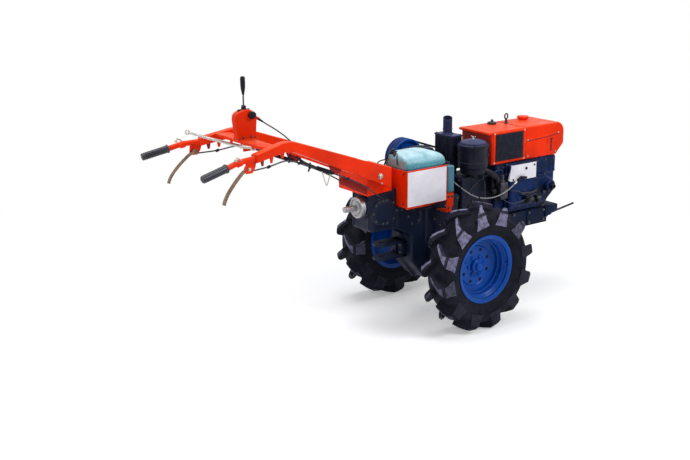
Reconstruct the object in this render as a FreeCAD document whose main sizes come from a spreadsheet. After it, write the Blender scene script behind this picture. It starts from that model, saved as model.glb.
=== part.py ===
"""Two-wheel walking tractor with a single-cylinder diesel engine, in millimetres.

+X is forward, +Y is left and +Z is up. The origin is on the ground under the middle of the
overall length. Inside this file every X is measured from the wheel axle, and each sub-part's
Placement carries it to the model's own frame.
"""
import FreeCAD, Part
import math
import os
import re
import Sketcher

os.makedirs("parts", exist_ok=True)
doc = FreeCAD.newDocument("walking_tractor")
Vector = FreeCAD.Vector
Rotation = FreeCAD.Rotation

# ---------------------------------------------------------------------------------------
# Driving sizes. X sizes called reach, front or rear are distances from the wheel axle.
# ---------------------------------------------------------------------------------------
SIZES = {
    # overall
    "rear_reach": 1460, "front_reach": 960, "track": 710,
    "fit_gap": 0.3, "running_gap": 0.05,
    # wheels: 12 inch rims with high-lug field tyres
    "tyre_radius": 315, "tyre_width": 165, "tyre_wall": 12, "lug_height": 38,
    "rim_seat_radius": 152, "rim_flange_radius": 172, "rim_width": 122, "rim_metal": 4,
    "rim_drop": 17, "disc_inset": 18, "disc_thickness": 5,
    "hand_hole_radius": 14, "hand_hole_circle": 92, "hand_hole_count": 8,
    "hub_radius": 34, "hub_flange_radius": 62, "hub_flange_thickness": 8, "hub_gap": 5,
    "shaft_radius": 20, "shaft_outboard": 16, "shaft_grip": 62,
    # transmission case
    "case_half_width": 92, "case_front": 110, "case_rear": 300, "case_low": 205,
    "case_top": 616, "final_drive_rear": 112, "hitch_face": 200,
    "housing_radius": 48, "housing_flange_radius": 72, "housing_flange_thickness": 12,
    "housing_end": 225,
    "clutch_case_rear": 120, "clutch_case_front": 80, "clutch_case_inner": 32,
    "clutch_case_top": 845,
    "clutch_x": -20, "clutch_z": 775, "clutch_shaft_radius": 15,
    # power take-off case behind it
    "pto_case_rear": 450, "pto_case_low": 500, "pto_case_top": 700, "pto_case_half_width": 85,
    "pto_cover_length": 158, "pto_cover_height": 130, "pto_cover_thickness": 12,
    "pto_x": -380, "pto_z": 600, "pto_round": 45,
    "pto_boss_radius": 60, "pto_boss_length": 20, "pto_collar_radius": 52,
    "pto_collar_length": 28, "pto_collar_gap": 0.5, "pto_shaft_radius": 15,
    "pto_shaft_length": 70, "pto_shaft_grip": 50, "pto_shaft_z": 625, "pto_shaft_y": -20,
    # rear hitch
    "hitch_reach": 370, "hitch_half_width": 42, "hitch_bore_radius": 12.5,
    "hitch_ear": 12, "hitch_low": 330, "hitch_height": 84, "hitch_pad": 30,
    # belt drive
    "belt_count": 3, "belt_edge": 15, "belt_pitch": 20, "belt_width": 12,
    "belt_thickness": 10, "belt_gap": 0.6, "groove_width": 13.2, "groove_depth": 12,
    "pulley_gap": 5, "pulley_width": 70, "clutch_case_gap": 20,
    "clutch_pulley_radius": 100, "engine_pulley_radius": 70, "pulley_web": 14,
    # engine frame
    "frame_front": 730, "frame_half_width": 110, "frame_low": 368, "frame_top": 460,
    "rail_width": 45, "rail_wall": 6, "cross_plate": 8,
    "bolt_hole_radius": 7, "bolt_spacing_y": 140, "bolt_spacing_z": 30, "bolt_z": 400,
    "bumper_front": 800, "bumper_half_width": 122, "bumper_plate": 8, "bumper_lip": 34,
    "rod_radius": 6, "rod_y": -96, "rod_low_z": 402, "rod_rise": 32,
    # front stand
    "stand_x": 460, "stand_z": 343, "stand_lean": 34, "stand_half_width": 92,
    "stand_tube_radius": 14, "stand_eye_radius": 19, "stand_eye_width": 20,
    "stand_pin_radius": 9, "stand_ear_inner": 62, "stand_ear": 8, "stand_bend": 60,
    # engine
    "engine_rear": 335, "engine_front": 782, "engine_half_width": 112, "engine_top": 737,
    "engine_nose_z": 545, "engine_nose_x": 705,
    "crank_x": 550, "crank_z": 610, "crank_radius": 18,
    "flywheel_radius": 172, "flywheel_gap": 5, "flywheel_width": 43,
    "flywheel_rim": 30, "flywheel_recess": 16,
    "barrel_rear": 200, "barrel_half_width": 84, "barrel_low": 505, "barrel_top": 690,
    "head_rear": 118, "head_half_width": 94, "head_low": 492, "head_top": 700,
    "cover_thickness": 36, "cover_rear": 398, "cover_step_x": 612, "cover_front": 738,
    "cover_low": 490, "cover_step_z": 645, "cover_top": 733,
    "boss_x": 682, "boss_z": 588, "boss_radius": 33, "boss_length": 32,
    "starter_radius": 13, "starter_length": 22,
    "plate_rear": 410, "plate_front": 594, "plate_low": 644, "plate_top": 728,
    "plate_slant": 16, "plate_thickness": 2,
    "pump_x": 338, "pump_length": 56, "pump_depth": 40, "pump_low": 556, "pump_height": 96,
    "valve_radius": 10, "valve_height": 34,
    # intake and exhaust
    "cleaner_x": 200, "cleaner_y": -84, "cleaner_radius": 80, "cleaner_top": 888,
    "cleaner_cup_radius": 66, "cleaner_cup_height": 40, "cleaner_lid": 24,
    "muffler_rear": 130, "muffler_front": 206, "muffler_right": 1, "muffler_left": 142,
    "muffler_low": 722, "muffler_top": 896, "muffler_round": 10,
    "neck_radius": 28, "neck_x": 170, "neck_y": 58,
    "pipe_radius": 24, "pipe_wall": 2.5, "pipe_x": 166, "pipe_y": 76, "pipe_height": 92,
    "pipe_slant": 20,
    # hood over the radiator and fuel tank
    "hood_rear": 300, "hood_front": 832, "hood_half_width": 117, "hood_low": 737, "hood_cheek_z": 795,
    "hood_top": 912, "hood_nose_z": 866, "hood_brow_x": 790, "hood_chin_x": 774,
    "hood_round": 14, "hood_nose_round": 26, "hood_wall": 4,
    "hood_lip": 20, "hood_lip_thickness": 7,
    "grille_rear": 324, "grille_front": 522, "grille_low": 754, "grille_high": 898,
    "grille_thickness": 5,
    "radiator_cap_x": 470, "radiator_cap_y": 66, "radiator_cap_radius": 24,
    "radiator_cap_height": 12, "radiator_knob_radius": 7, "radiator_knob_height": 12,
    "fuel_cap_x": 697, "fuel_cap_y": 64, "fuel_cap_radius": 32, "fuel_cap_height": 20,
    "eye_x": 552, "eye_y": 44, "eye_width": 26, "eye_height": 52, "eye_thickness": 9,
    "eye_hole": 7,
    # battery carrier
    "box_rear": 298, "box_front": 42, "box_right": -163, "box_left": 18, "box_height": 184,
    "box_wall": 3, "label_thickness": 2, "label_margin": 6,
    "battery_gap": 5, "battery_height": 252, "lid_height": 22, "lid_overhang": 3,
    "bracket_front": 2, "bracket_low": 556, "bracket_high": 656, "bracket_plate": 5,
    "bottle_depth": 48, "bottle_width": 80, "bottle_height": 138, "bottle_round": 10,
    # handlebar
    "base_rear": 500, "base_front": 332, "base_height": 118,
    "arm_root": 380, "arm_root_y": 100, "arm_splay": 8.6, "arm_width": 40, "arm_wall": 3,
    "arm_root_low": 732, "arm_root_high": 828, "arm_bend": 635, "arm_bend_high": 1050,
    "arm_bend_low": 1006, "arm_end": 820, "arm_end_high": 1015, "arm_end_low": 979,
    "arm_bend_round": 160, "tube_radius": 12.5, "tube_drop": 12, "tube_lead": 80, "tube_step": 4,
    "grip_radius": 17, "grip_length": 128, "grip_cap": 4,
    "lever_plate": 4, "lever_plate_rear": 862, "lever_plate_front": 812,
    "lever_plate_low": 940, "lever_width": 20, "lever_strip": 6,
    "brace_rear": 1122, "brace_front": 1056, "brace_top": 1032, "brace_plate": 14,
    "lug_x": 1018, "lug_y": 66, "lug_thickness": 6, "lug_low": 960,
    "column_rear": 1142, "column_front": 1030, "column_flare": 10, "column_half_width": 20,
    "column_top": 1150, "column_crown": 16,
    "shift_x": 1088, "shift_radius": 4.5, "shift_height": 66, "knob_radius": 9.5,
    "knob_height": 78, "shift_eye_radius": 9, "shift_eye_width": 14, "shift_pin_radius": 4,
    "shift_pin_rise": 12, "shift_ear": 4,
    "throttle_x": 1062, "throttle_z": 1140, "throttle_radius": 17, "throttle_depth": 16,
    "throttle_pin_radius": 5,
    "clutch_lever_radius": 7.5, "clutch_boss_radius": 14, "clutch_boss_width": 20,
    "clutch_pin_radius": 7, "side_gap": 0.5, "link_radius": 3.5,
    "lever_eye_radius": 12, "lever_pin_radius": 5,
    "stay_reach": 680, "stay_width": 8, "stay_depth": 34, "stay_low": 794,
    "guide_front": 300, "guide_rear": 396, "guide_depth": 36,
    "cable_radius": 3,
}

sheet = doc.addObject("Spreadsheet::Sheet", "Sizes")
for row, (alias, value) in enumerate(SIZES.items(), start=1):
    sheet.set(f"A{row}", alias)
    sheet.set(f"B{row}", str(value))
    sheet.setAlias(f"B{row}", alias)
doc.recompute()

ALIAS = re.compile(r"\b(" + "|".join(SIZES) + r")\b")
AXLE_X = "(rear_reach - front_reach) / 2"
AXLE_Z = "tyre_radius"
FLYWHEEL_INNER = "(hood_half_width + flywheel_gap)"
FLYWHEEL_OUTER = f"({FLYWHEEL_INNER} + flywheel_width)"
PULLEY_INNER = f"({FLYWHEEL_OUTER} + pulley_gap)"
PULLEY_OUTER = f"({PULLEY_INNER} + pulley_width)"
CLUTCH_CASE_OUTER = f"({PULLEY_INNER} - clutch_case_gap)"


def size(alias):
    """The number that the sheet holds under an alias."""
    return float(sheet.get(alias))


def bind(thing, path, rule):
    """Hold a property by a rule written with the sheet's aliases."""
    thing.setExpression(path, ALIAS.sub(r"Sizes.\1", str(rule)))


# ---------------------------------------------------------------------------------------
# Makers of plain solids
# ---------------------------------------------------------------------------------------
ALONG = {
    "X": Rotation(Vector(0, 1, 0), 90),
    "Y": Rotation(Vector(1, 0, 0), -90),
    "Z": Rotation(),
    "-Y": Rotation(Vector(1, 0, 0), 90),
    "-X": Rotation(Vector(0, 1, 0), -90),
}


def at(thing, x, y, z):
    """Bind the foot of a solid's placement."""
    for letter, rule in zip("xyz", (x, y, z)):
        bind(thing, "Placement.Base." + letter, rule)


def block(name, low_x, high_x, low_y, high_y, low_z, high_z):
    """Rectangular block between two corners."""
    solid = doc.addObject("Part::Box", name)
    bind(solid, "Length", f"({high_x}) - ({low_x})")
    bind(solid, "Width", f"({high_y}) - ({low_y})")
    bind(solid, "Height", f"({high_z}) - ({low_z})")
    at(solid, low_x, low_y, low_z)
    return solid


def drum(name, radius, length, x, y, z, along="Z"):
    """Cylinder that starts at a point and runs along an axis."""
    solid = doc.addObject("Part::Cylinder", name)
    bind(solid, "Radius", radius)
    bind(solid, "Height", length)
    solid.Placement = FreeCAD.Placement(Vector(), ALONG[along])
    at(solid, x, y, z)
    return solid


def joined(name, *solids):
    """One solid from several that touch."""
    whole = doc.addObject("Part::MultiFuse", name)
    whole.Shapes = list(solids)
    whole.Refine = True
    return whole


def group(name, *solids):
    """Solids that stay apart but belong to one node."""
    whole = doc.addObject("Part::Compound", name)
    whole.Links = list(solids)
    return whole


def less(name, base, *tools):
    """A solid with others cut out of it."""
    tool = tools[0] if len(tools) == 1 else joined(name + "_tools", *tools)
    rest = doc.addObject("Part::Cut", name)
    rest.Base = base
    rest.Tool = tool
    rest.Refine = True
    return rest


def rounded(name, base, radius, chosen):
    """Round the edges of a solid that a test picks."""
    doc.recompute()
    soft = doc.addObject("Part::Fillet", name)
    soft.Base = base
    number = size(radius)
    picked = [i for i, edge in enumerate(base.Shape.Edges, start=1) if chosen(edge)]
    soft.Edges = [(i, number, number) for i in picked]
    return soft


def runs_along(edge, letter):
    """True for a straight edge along an axis."""
    if not isinstance(edge.Curve, Part.Line):
        return False
    return abs(getattr(edge.Curve.Direction, letter)) > 0.999


# ---------------------------------------------------------------------------------------
# Makers of PartDesign bodies
# ---------------------------------------------------------------------------------------
def new_body(name):
    return doc.addObject("PartDesign::Body", name)


def new_sketch(body, name, plane, offset):
    """Empty sketch on one of the body's own planes, moved along the plane's normal."""
    sketch = body.newObject("Sketcher::SketchObject", name)
    for feature in body.Origin.OriginFeatures:
        if feature.Role == plane + "_Plane":
            sketch.AttachmentSupport = [(feature, "")]
    sketch.MapMode = "FlatFace"
    bind(sketch, "AttachmentOffset.Base.z", offset)
    return sketch


def hold_point(sketch, edge, end, start, rules):
    """Fix one point of a sketch by a rule for each coordinate."""
    for kind, number, rule in zip(("DistanceX", "DistanceY"), (start.x, start.y), rules):
        index = sketch.addConstraint(Sketcher.Constraint(kind, edge, end, number))
        bind(sketch, f"Constraints[{index}]", rule)


def outline(body, name, plane, corners, offset="0"):
    """Closed sketch of straight runs, each corner a pair of rules."""
    sketch = new_sketch(body, name, plane, offset)
    count = len(corners)
    start = []
    for i in range(count):
        angle = 2 * math.pi * i / count
        start.append(Vector(500 + 100 * math.cos(angle), 100 * math.sin(angle), 0))
    for i in range(count):
        sketch.addGeometry(Part.LineSegment(start[i], start[(i + 1) % count]), False)
    for i in range(count):
        sketch.addConstraint(Sketcher.Constraint("Coincident", i, 2, (i + 1) % count, 1))
    for i, rules in enumerate(corners):
        hold_point(sketch, i, 1, start[i], rules)
    return sketch


def disc(body, name, plane, radius, x, y, offset="0"):
    """Sketch of one circle."""
    sketch = new_sketch(body, name, plane, offset)
    sketch.addGeometry(Part.Circle(Vector(1, 1, 0), Vector(0, 0, 1), 10), False)
    index = sketch.addConstraint(Sketcher.Constraint("Radius", 0, 10))
    bind(sketch, f"Constraints[{index}]", radius)
    hold_point(sketch, 0, 3, Vector(1, 1, 0), (x, y))
    return sketch


def pad(body, name, sketch, length, both_ways=False, backwards=False):
    """Raise a sketch into a solid."""
    feature = body.newObject("PartDesign::Pad", name)
    feature.Profile = sketch
    bind(feature, "Length", length)
    feature.Midplane = both_ways
    feature.Reversed = backwards
    return feature


def pocket(body, name, sketch, length, both_ways=False, backwards=False):
    """Sink a sketch into the body."""
    feature = body.newObject("PartDesign::Pocket", name)
    feature.Profile = sketch
    bind(feature, "Length", length)
    feature.Midplane = both_ways
    feature.Reversed = backwards
    return feature


def turned(body, name, corners):
    """Solid of revolution about the body's Z, from corners given as radius and height."""
    sketch = outline(body, name + "_section", "XZ", corners)
    feature = body.newObject("PartDesign::Revolution", name)
    feature.Profile = sketch
    feature.ReferenceAxis = (sketch, ["V_Axis"])
    feature.Angle = 360
    return feature


def soften(body, name, feature, radius, chosen):
    """Round the edges of a body's last feature that a test picks."""
    doc.recompute()
    names = [f"Edge{i}" for i, edge in enumerate(feature.Shape.Edges, start=1) if chosen(edge)]
    fillet = body.newObject("PartDesign::Fillet", name)
    fillet.Base = (feature, names)
    bind(fillet, "Radius", radius)
    return fillet


# ---------------------------------------------------------------------------------------
# Finished sub-parts
# ---------------------------------------------------------------------------------------
NODES = []


def finish(label, solid, x="0", y="0", z="0", turn=None):
    """Name a sub-part and carry it to its place behind or ahead of the axle."""
    solid.Label = label
    solid.Placement = FreeCAD.Placement(Vector(), turn or Rotation())
    at(solid, f"{AXLE_X} + ({x})", y, z)
    NODES.append(solid)
    return solid


def smooth_tube(points, radius, share=0.45):
    """Round bar along straight runs joined by tangent arcs, as large as the runs allow."""
    edges = []
    last = points[0]
    for before, corner, after in zip(points, points[1:], points[2:]):
        back = (before - corner).normalize()
        onward = (after - corner).normalize()
        reach = share * min((before - corner).Length, (after - corner).Length)
        middle = (back + onward).normalize()
        half = back.getAngle(onward) / 2
        arc_radius = reach * math.tan(half)
        centre = corner + middle * (reach / math.cos(half))
        enter = corner + back * reach
        leave = corner + onward * reach
        edges.append(Part.LineSegment(last, enter).toShape())
        edges.append(Part.Arc(enter, centre - middle * arc_radius, leave).toShape())
        last = leave
    edges.append(Part.LineSegment(last, points[-1]).toShape())
    wire = Part.Wire(edges)
    start = points[1] - points[0]
    ring = Part.Wire([Part.Circle(points[0], start, radius).toShape()])
    return wire.makePipeShell([ring], True, False)


def shaped(name, shape):
    """Keep a shape that Part's own functions made."""
    feature = doc.addObject("Part::Feature", name)
    feature.Shape = shape
    return feature


# ---------------------------------------------------------------------------------------
# Wheels. A wheel's own Z points outboard, with zero at the middle of the tyre.
# ---------------------------------------------------------------------------------------
OUTBOARD = {"left": ALONG["Y"], "right": ALONG["-Y"]}
SIDE = {"left": "1", "right": "-1"}


def tyre_corners():
    """Section of the tyre: an open U over the rim, out to the tips of the lugs."""
    bead = "rim_seat_radius + fit_gap"
    inside = "rim_width / 2 - rim_metal - fit_gap"
    over = "rim_flange_radius + 3"
    belly = "rim_flange_radius + 54"
    shoulder = "tyre_radius - lug_height / 2"
    crown = "tyre_radius - lug_height"
    outer = [(bead, inside), (over, inside), (f"{over} + 5", f"{inside} + 6"),
             (belly, "tyre_width / 2"), (shoulder, "tyre_width / 2 - 6"),
             ("tyre_radius", "tyre_width / 2 - 20")]
    inner = [(crown, "tyre_width / 2 - 22"), (belly, "tyre_width / 2 - tyre_wall"),
             (over, f"{inside} - tyre_wall"), (bead, f"{inside} - tyre_wall")]
    far_outer = [(radius, f"0 - ({half})") for radius, half in reversed(outer)]
    far_inner = [(radius, f"0 - ({half})") for radius, half in reversed(inner)]
    return outer + far_outer + far_inner + inner


def rim_corners():
    """Section of the rim: flanged barrel with a drop centre and the wheel disc."""
    edge = "rim_width / 2"
    seat_end = "rim_width / 2 - 22"
    well = "rim_width / 2 - 34"
    flange, seat = "rim_flange_radius", "rim_seat_radius"
    drop = "rim_seat_radius - rim_drop"
    under_seat = "rim_seat_radius - rim_metal"
    under_drop = "rim_seat_radius - rim_drop - rim_metal"
    hole = "hub_radius + fit_gap"
    face = "0 - disc_inset"
    back = "0 - disc_inset - disc_thickness"
    return [
        (flange, edge), (flange, f"{edge} - rim_metal"), (seat, f"{edge} - rim_metal"),
        (seat, seat_end), (drop, well), (drop, f"0 - ({well})"), (seat, f"0 - ({seat_end})"),
        (seat, f"0 - ({edge} - rim_metal)"), (flange, f"0 - ({edge} - rim_metal)"),
        (flange, f"0 - ({edge})"), (under_seat, f"0 - ({edge})"),
        (under_seat, f"0 - ({seat_end})"), (under_drop, f"0 - ({well})"),
        (under_drop, back), (hole, back), (hole, face), (under_drop, face),
        (under_drop, well), (under_seat, seat_end), (under_seat, edge),
    ]


def wheel(side):
    """Tyre, rim and hub of one wheel."""
    middle = f"{SIDE[side]} * track / 2"

    tyre = new_body(side + "_tyre_body")
    turned(tyre, side + "_tyre_ring", tyre_corners())
    finish(side + "_tyre", tyre, y=middle, z=AXLE_Z, turn=OUTBOARD[side])

    rim = new_body(side + "_rim_body")
    turned(rim, side + "_rim_ring", rim_corners())
    hole = disc(rim, side + "_hand_hole", "XY", "hand_hole_radius", "hand_hole_circle", "0",
                "0 - disc_inset - disc_thickness - 1")
    doc.recompute()
    cut = pocket(rim, side + "_hand_cut", hole, "disc_thickness + 2", backwards=True)
    pattern = rim.newObject("PartDesign::PolarPattern", side + "_hand_holes")
    pattern.Originals = [cut]
    pattern.Axis = (hole, ["N_Axis"])
    for feature in rim.Origin.OriginFeatures:
        if feature.Role == "Z_Axis":
            pattern.Axis = (feature, [""])
    pattern.Angle = 360
    bind(pattern, "Occurrences", "hand_hole_count")
    rim.Tip = pattern
    finish(side + "_wheel_rim", rim, y=middle, z=AXLE_Z, turn=OUTBOARD[side])

    hub = new_body(side + "_hub_body")
    back = "0 - disc_inset - disc_thickness"
    end = "housing_end + hub_gap - track / 2"
    inner = "housing_end - shaft_grip - track / 2"
    turned(hub, side + "_hub_turning", [
        ("0", "shaft_outboard"), ("shaft_radius", "shaft_outboard"), ("shaft_radius", "0"),
        ("hub_radius", "0"), ("hub_radius", back), ("hub_flange_radius", back),
        ("hub_flange_radius", f"{back} - hub_flange_thickness"),
        ("hub_radius", f"{back} - hub_flange_thickness"), ("hub_radius", end),
        ("shaft_radius", end), ("shaft_radius", inner), ("0", inner),
    ])
    finish(side + "_wheel_hub", hub, y=middle, z=AXLE_Z, turn=OUTBOARD[side])


def axle_housing(side):
    """Flanged tube on the side of the case, with a blind bore for the wheel shaft."""
    housing = new_body(side + "_housing_body")
    bore = "shaft_radius + running_gap"
    blind = "housing_end - shaft_grip - 2"
    neck = "case_half_width + housing_flange_thickness"
    turned(housing, side + "_housing_turning", [
        ("0", "case_half_width"), ("housing_flange_radius", "case_half_width"),
        ("housing_flange_radius", neck), ("housing_radius", neck),
        ("housing_radius", "housing_end"), (bore, "housing_end"), (bore, blind), ("0", blind),
    ])
    housing.Placement = FreeCAD.Placement(Vector(), OUTBOARD[side])
    return housing


for hand in ("left", "right"):
    wheel(hand)
finish("axle_housings", group("axle_housing_pair", axle_housing("left"),
                              axle_housing("right")), z=AXLE_Z)

# ---------------------------------------------------------------------------------------
# Transmission case, power take-off and hitch
# ---------------------------------------------------------------------------------------
case = new_body("case_body")
case_side = outline(case, "case_side", "XZ", [
    ("0 - final_drive_rear", "case_low"), ("case_front - 25", "case_low"),
    ("case_front", "case_low + 40"), ("case_front", "case_top"),
    ("0 - case_rear", "case_top"), ("0 - case_rear", "pto_case_low"),
    ("0 - hitch_face", "pto_case_low - 50"), ("0 - hitch_face", "hitch_low - 20"),
])
case_pad = pad(case, "case_pad", case_side, "2 * case_half_width", both_ways=True)
clutch_side = outline(case, "clutch_side", "XZ", [
    ("0 - clutch_case_rear", "case_top - 10"), ("clutch_case_front", "case_top - 10"),
    ("clutch_case_front", "clutch_case_top - 50"),
    ("clutch_case_front - 40", "clutch_case_top"),
    ("0 - clutch_case_rear + 40", "clutch_case_top"),
    ("0 - clutch_case_rear", "clutch_case_top - 50"),
], "0 - clutch_case_inner")
clutch_pad = pad(case, "clutch_pad", clutch_side, f"{CLUTCH_CASE_OUTER} - clutch_case_inner",
                 backwards=True)
clutch_end = disc(case, "clutch_end", "XZ", "clutch_shaft_radius", "clutch_x", "clutch_z",
                  f"0 - {CLUTCH_CASE_OUTER}")
pad(case, "clutch_shaft", clutch_end, f"{PULLEY_OUTER} + 10 - {CLUTCH_CASE_OUTER}",
    backwards=True)
finish("transmission_case", case)

pto = new_body("pto_body")
pto_side = outline(pto, "pto_side", "XZ", [
    ("0 - case_rear", "pto_case_low"), ("0 - case_rear", "pto_case_top"),
    ("0 - pto_case_rear", "pto_case_top"), ("0 - pto_case_rear", "pto_case_low"),
])
pto_pad = pad(pto, "pto_pad", pto_side, "2 * pto_case_half_width", both_ways=True)
pto_soft = soften(pto, "pto_rear_round", pto_pad, "24",
                  lambda edge: runs_along(edge, "y")
                  and edge.CenterOfMass.x < -size("pto_case_rear") + 1)
cover_side = outline(pto, "cover_side", "XZ", [
    ("pto_x - pto_cover_length / 2 + pto_round", "pto_z - pto_cover_height / 2"),
    ("pto_x + pto_cover_length / 2 - pto_round", "pto_z - pto_cover_height / 2"),
    ("pto_x + pto_cover_length / 2", "pto_z - pto_cover_height / 2 + pto_round"),
    ("pto_x + pto_cover_length / 2", "pto_z + pto_cover_height / 2 - pto_round"),
    ("pto_x + pto_cover_length / 2 - pto_round", "pto_z + pto_cover_height / 2"),
    ("pto_x - pto_cover_length / 2 + pto_round", "pto_z + pto_cover_height / 2"),
    ("pto_x - pto_cover_length / 2", "pto_z + pto_cover_height / 2 - pto_round"),
    ("pto_x - pto_cover_length / 2", "pto_z - pto_cover_height / 2 + pto_round"),
], "pto_case_half_width")
pad(pto, "cover_pad", cover_side, "pto_cover_thickness")
pto_end = disc(pto, "pto_end", "YZ", "pto_boss_radius", "pto_shaft_y", "pto_shaft_z",
               "0 - pto_case_rear")
pad(pto, "pto_boss", pto_end, "pto_boss_length", backwards=True)
pto_hole = disc(pto, "pto_hole", "YZ", "pto_shaft_radius + running_gap", "pto_shaft_y",
                "pto_shaft_z", "0 - pto_case_rear - pto_boss_length")
pocket(pto, "pto_bore", pto_hole, "pto_shaft_grip + 2", backwards=True)
finish("pto_case", pto)

PTO_FACE = "0 - pto_case_rear - pto_boss_length"
finish("pto_shaft", joined(
    "pto_shaft_whole",
    drum("pto_collar", "pto_collar_radius", "pto_collar_length",
         f"{PTO_FACE} - pto_collar_gap", "pto_shaft_y", "pto_shaft_z", "-X"),
    drum("pto_spline", "pto_shaft_radius",
         "pto_shaft_grip + pto_collar_gap + pto_collar_length + pto_shaft_length",
         f"{PTO_FACE} + pto_shaft_grip", "pto_shaft_y", "pto_shaft_z", "-X")))

hitch_body = joined(
    "hitch_whole",
    block("hitch_foot", "0 - hitch_face - hitch_pad", "0 - hitch_face", "0 - hitch_half_width",
          "hitch_half_width", "hitch_low", "hitch_low + hitch_height"),
    block("hitch_low_ear", "0 - hitch_reach", "0 - hitch_face", "0 - hitch_half_width",
          "hitch_half_width", "hitch_low", "hitch_low + hitch_ear"),
    block("hitch_high_ear", "0 - hitch_reach", "0 - hitch_face", "0 - hitch_half_width",
          "hitch_half_width", "hitch_low + hitch_height - hitch_ear",
          "hitch_low + hitch_height"))
finish("rear_hitch", less(
    "hitch_bored", hitch_body,
    drum("hitch_bore", "hitch_bore_radius", "hitch_height + 20",
         "0 - hitch_reach + hitch_half_width", "0", "hitch_low - 10")))

# ---------------------------------------------------------------------------------------
# Engine frame, bumper, adjuster rod and front stand
# ---------------------------------------------------------------------------------------
def rail(side):
    """Channel rail, open towards the middle of the tractor."""
    sign = SIDE[side]
    body = new_body(side + "_rail")
    outer = f"{sign} * frame_half_width"
    web = f"{sign} * (frame_half_width - rail_wall)"
    inner = f"{sign} * (frame_half_width - rail_width)"
    section = outline(body, side + "_rail_section", "YZ", [
        (outer, "frame_low"), (outer, "frame_top"), (inner, "frame_top"),
        (inner, "frame_top - rail_wall"), (web, "frame_top - rail_wall"),
        (web, "frame_low + rail_wall"), (inner, "frame_low + rail_wall"),
        (inner, "frame_low"),
    ], "case_front")
    pad(body, side + "_rail_run", section, "frame_front - case_front")
    return body


def stand_ear(side):
    """Plate under a rail's cross-member that carries the stand's pin."""
    sign = SIDE[side]
    near = f"{sign} * stand_ear_inner"
    low_y = near if side == "left" else f"{near} - stand_ear"
    return block(side + "_ear", "stand_x - 26", "stand_x + 26", low_y,
                 f"{low_y} + stand_ear", "stand_z - 14", "frame_low + rail_wall")


def bumper_web(side):
    """Upright web that carries the bumper from the front plate."""
    body = new_body(side + "_bumper_web")
    front = "bumper_front - bumper_plate / 2"
    high = "frame_top - bumper_plate / 2"
    sketch = outline(body, side + "_bumper_web_side", "XZ", [
        ("frame_front - 1", high), (front, high), (front, "frame_top - bumper_lip"),
        ("frame_front + 10", "frame_top - bumper_lip - 19"),
        ("frame_front - 1", "frame_top - bumper_lip - 22"),
    ], f"0 - {SIDE[side]} * (bumper_half_width - 1)")
    pad(body, side + "_bumper_web_pad", sketch, "bumper_plate - 2",
        backwards=side != "left")
    return body


frame_holes = []
for hand in ("left", "right"):
    for level in ("-1", "1"):
        frame_holes.append(drum(
            f"front_hole_{hand}_{'low' if level == '-1' else 'high'}", "bolt_hole_radius",
            "cross_plate + 20", "frame_front - cross_plate - 10",
            f"{SIDE[hand]} * bolt_spacing_y / 2", f"bolt_z + {level} * bolt_spacing_z / 2",
            "X"))
frame_whole = joined(
    "frame_whole", rail("left"), rail("right"),
    block("rear_cross", "case_front", "case_front + cross_plate", "1 - frame_half_width",
          "frame_half_width - 1", "frame_low", "frame_top"),
    block("front_cross", "frame_front - cross_plate", "frame_front", "1 - frame_half_width",
          "frame_half_width - 1", "frame_low", "frame_top"),
    block("middle_cross", "stand_x - 40", "stand_x + 40", "1 - frame_half_width",
          "frame_half_width - 1", "frame_low", "frame_low + rail_wall"),
    stand_ear("left"), stand_ear("right"),
    drum("stand_pin", "stand_pin_radius", "2 * stand_half_width + stand_eye_width + 14",
         "stand_x", "0 - stand_half_width - stand_eye_width / 2 - 7", "stand_z", "Y"))
frame_drilled = less("frame_drilled", frame_whole, *frame_holes)
finish("engine_frame", joined(
    "frame_and_bumper", frame_drilled,
    block("bumper_top", "frame_front - 1", "bumper_front", "0 - bumper_half_width",
          "bumper_half_width", "frame_top - bumper_plate", "frame_top"),
    block("bumper_drop", "bumper_front - bumper_plate", "bumper_front",
          "0 - bumper_half_width", "bumper_half_width", "frame_top - bumper_lip",
          "frame_top"),
    bumper_web("left"), bumper_web("right")))

rod_start = Vector(size("frame_front"), size("rod_y"), size("rod_low_z"))
rod_end = Vector(size("front_reach"), size("rod_y"), size("rod_low_z") + size("rod_rise"))
rod_along = (rod_end - rod_start).normalize()
rod_length = (rod_end - rod_start).Length
rod_tilt = math.atan2(rod_along.z, rod_along.x)
rod_bar = Part.makeCylinder(size("rod_radius"), rod_length + 20, rod_start - rod_along * 20,
                            rod_along)
rod_nut = Part.makeCylinder(size("rod_radius") * 2, 12, rod_start + rod_along * 14, rod_along)
rod_slab = Part.makeBox(size("front_reach") - size("frame_front"), 60, 200,
                        Vector(size("frame_front"), size("rod_y") - 30,
                               size("rod_low_z") - 80))
finish("adjuster_rod", shaped("adjuster_shape", rod_bar.fuse(rod_nut).common(rod_slab)))


def stand_shape():
    """U of round tube with an eye at the top of each leg."""
    reach = size("stand_half_width")
    tube = size("stand_tube_radius")
    top = Vector(size("stand_x"), 0, size("stand_z"))
    foot = Vector(size("stand_x") - size("stand_lean"), 0, tube)
    across = Vector(0, reach, 0)
    bend = size("stand_bend")
    path = [top - across, foot - across, foot + across, top + across]
    share = bend / (2 * reach)
    legs = smooth_tube(path, tube, share)
    whole = legs
    hole_radius = size("stand_pin_radius") + size("running_gap")
    for sign in (-1, 1):
        low_y = sign * reach - size("stand_eye_width") / 2
        eye = Part.makeCylinder(size("stand_eye_radius"), size("stand_eye_width"),
                                Vector(top.x, low_y, top.z), Vector(0, 1, 0))
        whole = whole.fuse(eye)
    trim = Part.makeCylinder(hole_radius, 4 * reach, Vector(top.x, -2 * reach, top.z),
                             Vector(0, 1, 0))
    return whole.cut(trim).removeSplitter()


finish("front_stand", shaped("stand_shape", stand_shape()))

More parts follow.
